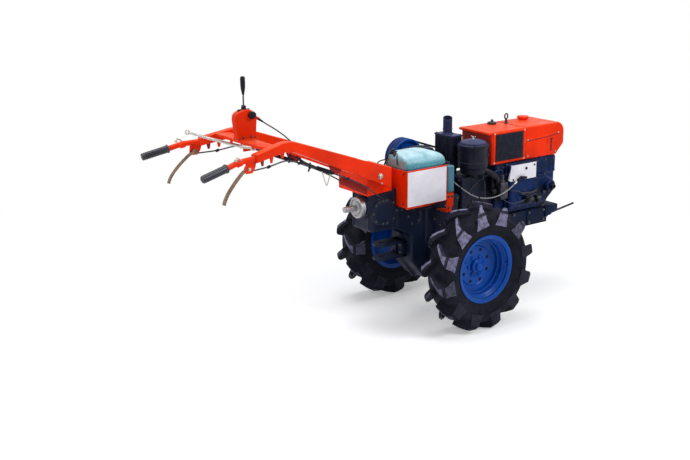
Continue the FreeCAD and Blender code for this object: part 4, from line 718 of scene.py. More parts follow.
def wheel(side):
    body = side + "_wheel"
    turn = put((0, mirrored(side) * TRACK / 2, AXLE_Z), (0, mirrored(side), 0))
    tyre = Shape(turn)
    half = [(152.5, 54), (158, 57), (172, 57.5), (177, 60), (186, 63.5), (196, 70), (199, 72),
            (203, 72.4), (214, 77), (217, 78.5), (221, 78.8), (236, 79.5), (250, 78),
            (262, 72), (270, 62), (275, 42), (277, 18), (277, 0)]
    inside = [(262, 55), (230, 67), (190, 58), (175, 47), (152.5, 44)]
    section = half + [(r, -h) for r, h in half[-2::-1]]
    section += [(r, -h) for r, h in reversed(inside)] + inside
    tyre.lathe(section, (0, 0, 0), "z", 112)
    step = 2 * math.pi / LUGS
    for i in range(LUGS):
        for sign in (1, -1):
            angle = (i + (0.5 if sign < 0 else 0) - 0.6) * step
            lug(tyre, angle, sign, 0.24 * mirrored(side))
    piece = tyre.piece(side + "_field_tyre", TYRE, side + "_tyre", body=body, angle=28)
    centre = Vector((AXLE_X, mirrored(side) * TRACK / 2, AXLE_Z)) * MM
    # Dust mixed with painted highlight: strongest on lug tops and end faces that turn to the top
    # and rear, where the light falls
    dust_and_light = piece.data.attributes.new("dust_and_light", "FLOAT", "FACE")
    for face, value in zip(piece.data.polygons, dust_and_light.data):
        away = (face.center - centre) / MM
        radius = math.hypot(away.x, away.z)
        outward = (away.x * face.normal.x + away.z * face.normal.z) / radius
        rear_top = min(1, max(0, (1.05 * away.z - 0.45 * away.x) / radius))
        if radius > 286 and outward > 0.7:
            value.value = 0.2 + 0.8 * rear_top
        elif abs(away.y) > 79.8 and radius > 232 and abs(face.normal.y) > 0.5:
            value.value = 0.06 + 0.84 * rear_top
        elif radius > 281:
            value.value = 0.12 * rear_top

    rim = Shape(turn)
    rim.lathe([(172, 61), (171, 58), (156, 57), (152, 54), (151.5, 40), (136, 27), (135, -27),
               (151.5, -40), (152, -56), (171, -58), (172, -61), (165, -61.5), (150, -58),
               (147, -40), (131, -24), (130, -21), (112, -23), (106, -26), (36, -24),
               (36, -18), (104, -20), (111, -17), (128.5, -14), (129, 2), (135, 5),
               (136.5, 20), (143, 24), (144.5, 38), (151, 43), (152.5, 55), (160, 59),
               (168, 62)], (0, 0, 0), "z", 96)
    rim.lathe([(96, -20.5), (100, -17.5), (104, -20.5)], (0, 0, 0), "z", 64)
    rim.rod([(149, 4, 40), (146, 4, 52), (143, 5, 64)], 3.2, 10, 4)
    rim.piece(side + "_pressed_rim", RIM_BLUE, side + "_wheel_rim", body=body)
    # Dark discs where the rim's hand holes are: painted shade of the openings
    holes = Shape(turn)
    for i in range(8):
        angle = 2 * math.pi * (i + 0.5) / 8
        holes.drum((82 * math.cos(angle), 82 * math.sin(angle), -25), "z", 9, 6.2, 0.4, 20)
    holes.piece(side + "_rim_hand_hole_shade", FRAME_BLUE, slot="deep_blue_paint", body=body)

    hub = Shape(turn)
    hub.lathe([(0, 16), (17, 16), (20, 13), (20, 4), (27, 3), (34, -2), (35, -17), (56, -17),
               (60, -19), (60, -31), (34, -33), (33, -104), (29, -124), (20, -124),
               (20, -190), (0, -190)])
    hub.lathe([(0, 19), (5, 19), (7, 16), (7, 14), (0, 14)], (0, 0, 0), "z", 20)
    hub.piece(side + "_cast_hub", RIM_BLUE, side + "_wheel_hub", body=body)
    nuts = Shape(turn)
    nuts.ring_of_bolts((0, 0, -17), "z", 47, 6, 7.5)
    nuts.rod([(18, -13, 6), (18, 14, 6)], 2.2, 8, 0)
    nuts.piece(side + "_wheel_nuts", RIM_BLUE, body=body)


for hand in SIDES:
    wheel(hand)


# ---------------------------------------------------------------------------------------
# Transmission case, axle housings, power take-off and hitch
# ---------------------------------------------------------------------------------------
def case_pieces():
    case = Shape()
    case.prism([(-112, 205), (85, 205), (110, 245), (110, 616), (-300, 616), (-300, 500),
                (-200, 450), (-200, 310)], -86, 86, "y", 12, 3)
    case.prism([(-126, 196), (92, 200), (118, 242), (118, 618), (-306, 618), (-306, 494),
                (-207, 444), (-207, 306)], -8, 8, "y", 3)
    for sign in (-1, 1):
        inner, outer = pair(sign, 80, 92)
        case.drum((0, sign * 80, 315), (0, sign, 0), 92, 12, 3, 48)
        case.prism([(-76, 360), (70, 360), (52, 520), (-40, 540)], inner, outer, "y", 4)
        case.drum((-10, sign * 80, 520), (0, sign, 0), 62, 12, 3, 40)
        case.drum((-190, sign * 80, 545), (0, sign, 0), 46, 11, 3, 40)
        case.prism([(-296, 574), (106, 574), (106, 614), (-296, 614)], inner, outer, "y", 3)
        for x in (-120, -60, 62):
            case.prism([(x, 250), (x + 7, 250), (x + 7, 606), (x, 606)],
                       *pair(sign, 80, 90), "y", 2)
    case.prism([(-120, 590), (80, 590), (80, 795), (40, 845), (-80, 845), (-120, 795)], 36,
               146, "y", 14, 3)
    case.prism([(-126, 592), (86, 592), (86, 798), (43, 852), (-83, 852), (-126, 798)], 78,
               92, "y", 4)
    case.drum((-20, 140, 775), "y", 44, 12, 3, 40)
    case.cast(4.6, 3)
    case.drum((-20, 148, 775), "y", 15, 102, 1.5, 24)
    case.piece("gearbox_casting", NAVY, "transmission_case")
    seams = Shape()
    for sign in (-1, 1):
        seams.ring_of_bolts((0, sign * 92, 315), (0, sign, 0), 82, 8, 6.5, 0.3)
        seams.ring_of_bolts((-10, sign * 92, 520), (0, sign, 0), 52, 6, 5.5, 0.2)
        seams.ring_of_bolts((-190, sign * 91, 545), (0, sign, 0), 37, 5, 5, 0.5)
        for x in (-270, -225, -100, 30, 90):
            seams.bolt((x, sign * 91, 594), (0, sign, 0), 5.5)
    for z in (250, 330, 410, 490, 570):
        seams.bolt((118, 40, z), "x", 5.5).bolt((118, -40, z), "x", 5.5)
    seams.ring_of_bolts((-20, 152, 775), "y", 34, 4, 5, 0.7)
    seams.bolt((-40, 0, 197), "-z", 11)
    seams.piece("gearbox_bolts", DULL_STEEL)

    for side in SIDES:
        sign = mirrored(side)
        turn = put((0, 0, AXLE_Z), (0, sign, 0))
        tube = Shape(turn)
        tube.lathe([(0, 91), (70, 91), (72, 93), (72, 102), (70, 104), (56, 106), (50, 114),
                    (47, 130), (46, 190), (47, 196), (48, 200), (48, 223), (46, 225),
                    (20.5, 225), (20.5, 163), (0, 163)])
        for i in range(6):
            away = ray(math.pi * (i + 0.5) / 3)
            tube.rod([away * 62 + Vector((0, 0, 102)), away * 50 + Vector((0, 0, 122)),
                      away * 45 + Vector((0, 0, 165))], 5, 8, 3)
        tube.cast(3.4, 2)
        tube.piece(side + "_axle_tube", NAVY, *["axle_housings"] if side == "left" else [])
        ring = Shape(turn)
        ring.ring_of_bolts((0, 0, 104), "z", 63, 6, 6, 0.1)
        ring.piece(side + "_axle_flange_bolts", DULL_STEEL)


def oblong(x, z, half_long, half_high, steps=8):
    """Outline with round ends."""
    flat = half_long - half_high
    points = []
    for centre, start in ((x + flat, -math.pi / 2), (x - flat, math.pi / 2)):
        points += circle(centre, z, half_high, steps, start, math.pi, 1)
    return points


def pto_pieces():
    case = Shape()
    case.block((-450, -82, 500), (-300, 82, 700), 20, 4)
    case.block((-316, -85, 497), (-300, 85, 703), 4)
    case.prism(oblong(-380, 600, 77, 63), -97, -80, "y", 4)
    case.prism(oblong(-380, 600, 64, 50), -100, -90, "y", 3)
    case.prism(oblong(-380, 600, 70, 58), 78, 92, "y", 4)
    case.drum((-446, -20, 625), "-x", 60, 24, 4, 48)
    for y in (-64, 58):
        case.prism([(y, 512), (y + 8, 512), (y + 8, 688), (y, 688)], -456, -440, "x")
    case.block((-440, -60, 694), (-330, 60, 707), 4)
    case.cast(3.6, 2)
    case.piece("pto_casting", NAVY, "pto_case")
    trim = Shape()
    for x, z in oblong(-380, 600, 70, 57, 4):
        trim.bolt((x, -97, z), "-y", 5.5)
    for x, z in oblong(-380, 600, 62, 50, 4)[::2]:
        trim.bolt((x, 92, z), "y", 5.5)
    trim.ring_of_bolts(PTO_PLACE, "-x", 56, 6, 3.4, 0.5)
    for x, y in product((-428, -342), (-46, 46)):
        trim.bolt((x, y, 707), "z", 5.5)
    trim.drum((-385, 0, 707), "z", 15, 12, 3, 24)
    trim.piece("pto_case_bolts", DULL_STEEL)
    turn = put(PTO_PLACE, "-x")
    shaft = Shape(turn)
    shaft.lathe([(0, 0.8), (48, 0.8), (52, 4), (52, 25), (49, 28), (42, 28), (40, 22), (30, 20),
                 (28, 24), (20, 25), (17, 28), (0, 28)], (0, 0, 0), "z", 56)
    teeth = []
    for i in range(6):
        for off, radius in ((-0.24, 12.4), (-0.2, 15), (0.2, 15), (0.24, 12.4)):
            angle = i * math.pi / 3 + off
            teeth.append((radius * math.cos(angle), radius * math.sin(angle)))
    shaft.prism(teeth, 20, 98.5, "z", 0.8, 1)
    shaft.drum((0, 0, -50), "z", 14.6, 60, 1, 24)
    shaft.piece("pto_coupling", STEEL, "pto_shaft", body="pto_shaft_body")


def hitch_pieces():
    hitch = Shape()
    hitch.block((-230, -42, 330), (-200, 42, 414), 3)
    for low in (330, 402):
        plate = [(-200, -42), (-200, 42), *circle(-328, 0, 42, 12, math.pi / 2, math.pi, 1),
                 (-328, -42)]
        drilled(hitch, plate, [circle(-328, 0, 13, 24)], low, low + 12)
    hitch.block((-240, -6, 342), (-228, 6, 402), 3)
    hitch.piece("drawbar_jaw", NAVY, "rear_hitch")
    for y, z in product((-30, 30), (352, 392)):
        bolts().bolt((-230, y, z), "-x")


def drilled(shape, outline, rings, low, high, bevel=1.2):
    """Plate with holes, flat in Z."""
    part = bmesh.new()
    edges = []
    for loop in (outline, *rings):
        spots = [part.verts.new((x, y, low)) for x, y in loop]
        edges += [part.edges.new((a, b)) for a, b in zip(spots, spots[1:] + spots[:1])]
    faces = bmesh.ops.triangle_fill(part, edges=edges, use_beauty=True)["geom"]
    faces = [f for f in faces if isinstance(f, bmesh.types.BMFace)]
    top = bmesh.ops.extrude_face_region(part, geom=faces, use_keep_orig=True)["geom"]
    bmesh.ops.translate(part, vec=(0, 0, high - low),
                        verts=[v for v in top if isinstance(v, bmesh.types.BMVert)])
    return shape.take(part, bevel, 1)


case_pieces()
pto_pieces()
hitch_pieces()


# ---------------------------------------------------------------------------------------
# Engine frame, bumper, adjuster rod and front stand
# ---------------------------------------------------------------------------------------
def frame_pieces():
    rails = Shape()
    for sign in (-1, 1):
        web = pair(sign, 104, 110)
        lips = pair(sign, 65, 110)
        rails.block((110, web[0], 368), (730, web[1], 460), 1.5)
        rails.block((110, lips[0], 454), (730, lips[1], 460), 1.5)
        rails.block((110, lips[0], 368), (730, lips[1], 374), 1.5)
        panel = pair(sign, 109, 114)
        rails.block((576, panel[0], 376), (712, panel[1], 452))
        rails.prism([(118, 372), (190, 372), (160, 456), (118, 456)], *panel, "y", 1.5)
        ear = pair(sign, 62, 70)
        rails.prism([(434, 372), (434, 348), (450, 329), (470, 329), (486, 348), (486, 372)],
                    *ear, "y", 1.5)
    rails.block((110, -108, 368), (118, 108, 460), 1.5)
    rails.block((722, -108, 368), (730, 108, 460), 1.5)
    rails.block((420, -108, 368), (500, 108, 374), 1.5)
    rails.block((728, -122, 452), (800, 122, 460), 2.5)
    rails.block((792, -122, 426), (800, 122, 460), 2.5)
    for sign in (-1, 1):
        rails.prism([(708, 456), (796, 456), (796, 426), (740, 407), (708, 400)],
                    *pair(sign, 110, 121), "y", 1.5)
    rails.drum((460, -109, 343), "y", 9, 218, 1.5, 20)
    rails.piece("engine_bed_frame", FRAME_BLUE, "engine_frame")
    for sign in (-1, 1):
        for x, z in ((132, 390), (132, 438), (178, 390), (590, 388), (590, 440), (698, 388),
                     (698, 440), (370, 444), (480, 444)):
            bolts().bolt((x, sign * (114 if x > 500 or x < 200 else 110), z), (0, sign, 0), 6.5)
        bolts().bolt((460, sign * 108, 343), (0, sign, 0), 7.5)
    for y, z in product((-70, 70), (385, 415)):
        bolts().drum((729, y, z), "x", 10, 2.5, 0.5, 20, hole=6.9)

    start = Vector((730, -96, 402))
    along = Vector((230, 0, 32)).normalized()
    rod = Shape(put(start, along))
    thread = [(0, 0)]
    reach = 231
    for i in range(58):
        thread += [(6, 2 + i * 3.9), (4.9, 3.9 + i * 3.9)]
    rod.lathe([p for p in thread if p[1] < reach] + [(0, reach)], (0, 0, 0), "z", 12)
    rod.bolt((0, 0, 6), "z", 11, 3)
    rod.drum((0, 0, 30), "z", 12, 3, 0.5, 20)
    rod.bolt((0, 0, 33), "z", 10, 2, False)
    rod.piece("threaded_adjuster", DULL_STEEL, "adjuster_rod")

    stand = Shape()
    for sign in (-1, 1):
        stand.drum((460, sign * 92 - 10, 343), "y", 19, 20, 2, 32, hole=9.4)
    half = [(459, -92, 326), (444, -92, 190), (430, -92, 52), (427, -82, 22), (426, -60, 14),
            (426, 0, 14)]
    stand.rod(half + [(x, -y, z) for x, y, z in half[-2::-1]], 13.6, 20)
    stand.rod([(451, -92, 250), (451, 92, 250)], 7, 12, 0)
    stand.piece("folding_stand", NAVY, "front_stand", body="front_stand_body")


frame_pieces()


# ---------------------------------------------------------------------------------------
# Engine
# ---------------------------------------------------------------------------------------
def engine_pieces():
    block = Shape()
    block.prism([(335, 462), (705, 462), (776, 545), (776, 735), (335, 735)], -108, 108, "y", 9,
                3)
    block.prism([(335, 462), (712, 462), (782, 543), (782, 560), (335, 560)], -100, 100, "y", 5)
    for y in range(-96, 97, 16):
        block.prism([(y - 3, 560), (y + 3, 560), (y + 3, 728), (y - 3, 728)], 770, 783, "x")
    block.block((340, -112, 700), (776, 112, 736), 5)
    for x in range(626, 776, 13):
        block.block((x, -116, 652), (x + 5, -104, 732), 1.6)
    block.block((618, -114, 646), (778, -104, 654))
    for sign in (-1, 1):
        for x in (370, 650):
            foot = pair(sign, 104, 84)
            block.block((x - 26, foot[0], 460), (x + 26, foot[1], 486), 4)
    block.drum((550, 104, 610), "y", 62, 8, 3, 48)
    block.cast(4.4, 2)
    block.drum((550, 110, 610), "y", 18, 138, 2, 28)
    block.piece("crankcase_casting", ENGINE_BLUE, "engine_block")
    for x in (352, 390, 430, 480, 530, 580, 640, 700, 760):
        bolts().bolt((x, -112, 718), "-y", 5)
    bolts().ring_of_bolts((550, 112, 610), "y", 52, 8, 5)
    for y in (-80, -30, 30, 80):
        bolts().bolt((783, y, 552), "x", 5.5)

    head = Shape()
    head.block((196, -84, 505), (338, 84, 690), 10, 3)
    head.block((118, -92, 494), (202, 92, 698), 9, 3)
    head.block((186, -94, 492), (200, 94, 700), 3)
    head.block((120, -70, 512), (134, 70, 684), 8, 3)
    head.block((322, -90, 498), (336, 90, 700), 3)
    for z in (530, 565, 600, 635, 668):
        head.block((206, -86, z), (318, 86, z + 6))
    head.drum((160, -80, 560), "-y", 24, 13, 3)
    head.drum((208, -76, 690), "z", 30, 14, 3)
    head.drum((170, 58, 690), "z", 32, 10, 3)
    head.cast(3.8, 2)
    head.piece("cylinder_casting", NAVY, "cylinder_head")
    for y, z in product((-74, -26, 26, 74), (512, 596, 680)):
        bolts().bolt((118, y, z), "-x", 6)
    for z in (520, 560, 600, 640, 680):
        bolts().bolt((194, -92, z), "-y", 5)
        bolts().bolt((328, -90, z), "-y", 5)

    outline = [(398, 490), (678, 490), (738, 540), (738, 615), (683, 645), (612, 645),
               (612, 733), (398, 733)]
    cover = Shape()
    cover.prism(outline, -122, -111)
    inner = [(405, 497), (675, 497), (730, 543), (730, 611), (681, 638), (606, 638),
             (606, 726), (405, 726)]
    cover.prism(inner, -148, -112, "y", 10, 3)
    cover.drum((682, -146, 588), "-y", 33, 34, 4, 40)
    cover.drum((682, -178, 588), "-y", 27, 4, 1.5, 40)
    cover.drum((500, -146, 560), "-y", 34, 5, 2, 40)
    cover.drum((600, -146, 590), "-y", 26, 6, 2)
    cover.prism([(416, 508), (450, 508), (450, 626), (416, 626)], -152, -140, "y", 4)
    cover.cast(2.8, 2)
    cover.piece("timing_cover", ENGINE_BLUE, "gear_case_cover")
    starter = Shape()
    starter.drum((682, -179, 588), "-y", 20, 3, 1)
    starter.drum((682, -180, 588), "-y", 13, 22, 2, 24, hole=7)
    starter.rod([(682, -194, 575), (682, -194, 601)], 2.5, 8, 0)
    starter.piece("starting_dog", BLACK_PAINT, slot="deep_blue_paint")
    for x, z in [(402, 494), (450, 493), (506, 493), (562, 493), (620, 493), (677, 494),
                 (735, 545), (735, 580), (734, 612), (685, 642), (645, 642), (402, 560),
                 (402, 620), (402, 680), (402, 729), (609, 660), (609, 700)]:
        bolts().bolt((x, -122, z), "-y", 4.6)
    bolts().ring_of_bolts((500, -151, 560), "-y", 27, 5, 4)


def engine_details():
    """Fuel filter, pump, pipes and governor gear on the right of the engine."""
    pump = Shape()
    pump.block((340, -150, 558), (392, -112, 646), 5, 3)
    pump.drum((366, -131, 644), "z", 15, 12, 2, 24)
    pump.drum((366, -131, 652), "z", 10, 34, 2, 6)
    pump.drum((366, -148, 584), "-y", 15, 5, 1.5, 24)
    pump.drum((352, -148, 628), "-y", 7, 6, 1.5, 16)
    pump.drum((382, -148, 628), "-y", 7, 6, 1.5, 16)
    pump.piece("injection_pump_body", DULL_STEEL, "injection_pump")
    black = Shape()
    black.drum((338, -128, 668), (-1, 0, -0.25), 20, 26, 4, 28)
    black.block((304, -120, 620), (338, -96, 690), 6, 3)
    black.drum((331, -118, 600), "-x", 16, 30, 4, 24)
    black.drum((520, -170, 520), "z", 19, 30, 6, 28)
    black.drum((520, -170, 552), "z", 22, 9, 2, 28)
    black.drum((600, -166, 508), "z", 13, 24, 4, 24)
    black.piece("filter_bowls", BLACK)
    filters = Shape()
    filters.block((500, -182, 548), (540, -146, 558), 3)
    filters.block((586, -176, 530), (614, -146, 545), 3)
    filters.drum((564, -150, 532), "-y", 11, 14, 2, 20)
    filters.drum((652, -150, 556), "-y", 9, 12, 2, 20)
    filters.prism([(480, 566), (560, 560), (600, 574), (596, 582), (560, 572), (482, 578)],
                  -160, -153)
    filters.piece("filter_brackets", DULL_STEEL)
    pipes = Shape()
    pipes.rod([(366, -131, 684), (364, -136, 706), (340, -140, 716), (294, -132, 706),
               (240, -118, 684), (200, -104, 650), (170, -98, 620), (160, -94, 586)], 1.7, 8)
    pipes.rod([(382, -153, 628), (410, -164, 600), (450, -170, 592), (490, -172, 566),
               (520, -170, 561)], 1.8, 8)
    pipes.rod([(352, -153, 628), (336, -160, 600), (350, -162, 560), (420, -166, 530),
               (500, -172, 540)], 1.8, 8)
    pipes.rod([(540, -170, 552), (566, -172, 560), (590, -168, 552), (600, -166, 544)], 1.8, 8)
    pipes.rod([(270, -88, 520), (270, -104, 560), (268, -104, 640), (262, -96, 690)], 3)
    pipes.piece("fuel_pipes", DULL_STEEL)
    plate = Shape()
    plate.prism([(410, 644), (594, 644), (594, 728), (426, 728)], -150, -147.5, "y", 1.2)
    plate.prism([(398, 650), (410, 644), (426, 728), (414, 727)], -149.5, -140, "y", 1.2)
    plate.block((-292, -165, 622), (-48, -162.6, 794), 0.8)
    plate.piece("bare_plates", WHITE, "blank_plates")
    lever = Shape()
    lever.drum((480, -149, 658), "-y", 9, 17, 1.5, 24)
    lever.prism([(446, 646), (514, 650), (516, 660), (478, 668), (446, 656)], -164, -158, "y", 1)
    lever.bolt((480, -166, 658), "-y", 5)
    lever.drum((454, -164, 651), "-y", 4.5, 5, 1, 12)
    lever.drum((506, -164, 655), "-y", 4.5, 5, 1, 12)
    lever.bolt((520, -149, 702), "-y", 6)
    lever.bolt((580, -149, 714), "-y", 4.5)
    lever.bolt((428, -149, 652), "-y", 4.5)
    lever.piece("speed_control_lever", BLACK_PAINT, "speed_lever", slot="bare_steel")


engine_pieces()
engine_details()


def grooves(radius, depth=12):
    """Belt grooves of a pulley, from the right to the left, in millimetres along Y."""
    points = []
    for middle in BELT_LINES:
        points += [(radius, middle - 7.4), (radius - depth, middle - 5.2),
                   (radius - depth, middle + 5.2), (radius, middle + 7.4)]
    return points


def belt(shape, y):
    """Closed V belt round the two pulleys."""
    rear, front = Vector(PULLEY_PLACE), Vector(FLYWHEEL_PLACE)
    rear_radius, front_radius = 88.6, 58.6
    between = front - rear
    slope = math.atan2(between.z, between.x)
    lead = math.acos((rear_radius - front_radius) / between.length)
    line = []
    for centre, radius, start, end in (
            (front, front_radius, slope + lead, slope - lead),
            (rear, rear_radius, slope - lead, slope + lead - 2 * math.pi)):
        for i in range(25):
            angle = start + (end - start) * i / 24
            line.append((centre, radius, angle))
    part = bmesh.new()
    rings = []
    for centre, radius, angle in line:
        out = Vector((math.cos(angle), 0, math.sin(angle)))
        rings.append([part.verts.new(centre + out * (radius + rise) + Vector((0, y + wide, 0)))
                      for rise, wide in ((0.2, -4.2), (9.6, -5.9), (9.6, 5.9), (0.2, 4.2))])
    skin(part, rings + rings[:1])
    shape.take(part)


def drive_pieces():
    turn = put(FLYWHEEL_PLACE, "y")
    wheel_disc = Shape(turn)
    wheel_disc.lathe([(18.3, 122), (168, 122), (172, 126), (172, 161), (168, 165), (145, 165),
                      (141, 161), (139, 150), (90, 149), (74, 152), (70, 156), *grooves(70),
                      (70, 240), (66, 242), (34, 242), (32, 239), (18.3, 239)], (0, 0, 0), "z",
                     96)
    wheel_disc.piece("spoked_flywheel", ENGINE_BLUE, "flywheel", slot="cast_iron",
                     body="flywheel_body")
    lugs = Shape(turn)
    lugs.ring_of_bolts((0, 0, 149), "z", 106, 6, 8)
    lugs.bolt((0, 0, 247), "z", 20, 4)
    lugs.piece("flywheel_bolts", DULL_STEEL, slot="cast_iron", body="flywheel_body")

    turn = put(PULLEY_PLACE, "y")
    pulley = Shape(turn)
    pulley.lathe([(15.3, 170), (30, 170), (34, 173), (36, 182), (78, 184), (84, 178), (88, 171),
                  (96, 170), (100, 173), *grooves(100), (100, 238), (96, 240), (84, 240),
                  (80, 236), (78, 226), (42, 224), (40, 234), (38, 236), (15.3, 236)],
                 (0, 0, 0), "z", 80)
    for i in range(6):
        away = ray(math.pi * i / 3)
        pulley.rod([away * 34 + Vector((0, 0, 182)), away * 80 + Vector((0, 0, 183))], 5, 8, 0)
    pulley.piece("belt_pulley", RIM_BLUE, "clutch_pulley", body="clutch_pulley_body")
    caps = Shape(turn)
    caps.ring_of_bolts((0, 0, 224), "z", 58, 4, 6)
    caps.piece("pulley_bolts", DULL_STEEL, body="clutch_pulley_body")
    loops = Shape()
    for y in BELT_LINES:
        belt(loops, y)
    loops.piece("three_v_belts", RUBBER, "drive_belts")


drive_pieces()


# ---------------------------------------------------------------------------------------
# Air cleaner, muffler and exhaust pipe
# ---------------------------------------------------------------------------------------
def breathing_pieces():
    turn = Matrix.Translation((200, -84, 0))
    can = Shape(turn)
    can.lathe([(0, 701), (30, 701), (30, 712), (62, 712), (66, 716), (66, 738), (70, 742),
               (77, 746), (77, 766), (78.5, 768), (78.5, 773), (77, 775), (77, 838), (79, 842),
               (80, 845), (80, 860), (76, 864), (68, 866), (0, 866)], (0, 0, 0), "z", 64)
    can.piece("air_cleaner_can", BLACK_PAINT, "air_cleaner")
    lid = Shape(turn)
    lid.lathe([(58, 864), (68, 865), (69, 868), (67, 872), (62, 875), (55, 877), (46, 880.5),
               (33, 884), (16, 887), (0, 887.6)], (0, 0, 0), "z", 64)
    lid.piece("air_cleaner_lid", LID)
    nut = Shape(turn)
    nut.drum((0, 0, 885), "z", 7, 4, 1, 20)
    nut.drum((0, 0, 888), "z", 4, 11, 1, 12)
    nut.rod([(0, 2, 892), (0, 10, 898), (0, 15, 902)], 2.6, 8, 3, 0.6)
    nut.rod([(0, -2, 892), (0, -10, 898), (0, -15, 902)], 2.6, 8, 3, 0.6)
    nut.piece("air_cleaner_wing_nut", ZINC, slot="dark_navy_paint")
    clips = Shape(turn)
    for angle in (-2.2, -0.6, 1.0, 2.6):
        away = ray(angle)
        clips.rod([away * 75 + Vector((0, 0, 806)), away * 79 + Vector((0, 0, 826)),
                   away * 82 + Vector((0, 0, 850)), away * 78 + Vector((0, 0, 868))], 2.2, 8)
        clips.block(Vector(away * 75) + Vector((-5, -5, 798)),
                    Vector(away * 75) + Vector((5, 5, 810)), 1)
    clips.piece("air_cleaner_clips", BLACK_PAINT)
    hose = Shape()
    hose.rod([(236, -108, 730), (262, -124, 716), (296, -132, 696), (330, -126, 668),
              (340, -116, 640)], 17, 20)
    for place in ((262, -122, 716), (318, -131, 680)):
        hose.drum(place, (0.7, -0.2, -0.6), 18.6, 6, 1, 24)
    hose.piece("breather_hose", BLACK, slot="dark_navy_paint")

    box = Shape()
    box.block((132, 3, 722), (204, 140, 890), 9, 3)
    box.block((130, 1, 722), (206, 142, 728), 2.5)
    for i in range(10):
        y = 12 + i * 13
        for x in (132, 204):
            box.rod([(x, y, 732), (x, y, 884)], 3.2, 8, 0)
    for i in range(5):
        x = 143 + i * 12.5
        for y in (3, 140):
            box.rod([(x, y, 732), (x, y, 884)], 3.2, 8, 0)
    for wide, tall in ((27, 24), (35, 9)):
        box.drum((170, 58, 700), "z", wide, tall, 2)
    box.piece("ribbed_muffler", BLACK_PAINT, "muffler")
    top = Shape()
    top.block((130.5, 1.5, 886), (205.5, 141.5, 896), 4, 3)
    top.piece("muffler_top_plate", LID)
    for x, y in product((147, 193), (40, 76)):
        bolts().bolt((x, y, 709), "z", 5.5)
    for y, x in product((12, 131), (140, 196)):
        bolts().bolt((x, y, 896), "z", 3.6)

    pipe = Shape()
    part = bmesh.new()
    rings = []
    for radius, foot in ((24, True), (24, False), (21.5, False), (21.5, True)):
        rings.append([part.verts.new((166 + x, 76 + y,
                                      896 if foot else 978 + x * 0.22 + y * 0.28))
                      for x, y in circle(0, 0, radius, 40)])
    skin(part, rings + rings[:1])
    pipe.take(part)
    pipe.lathe([(23, 896), (30, 896), (30, 900), (24.6, 902)], (166, 76, 0), "z", 40)
    pipe.drum((166, 76, 896), "z", 22, 2, 0.5)
    pipe.rod([(*spot, 922) for spot in circle(166, 76, 25, 24, extra=1)], 1.6, 6, 0)
    pipe.piece("slanted_exhaust_pipe", LID, "exhaust_pipe", slot="black_plastic")


breathing_pieces()


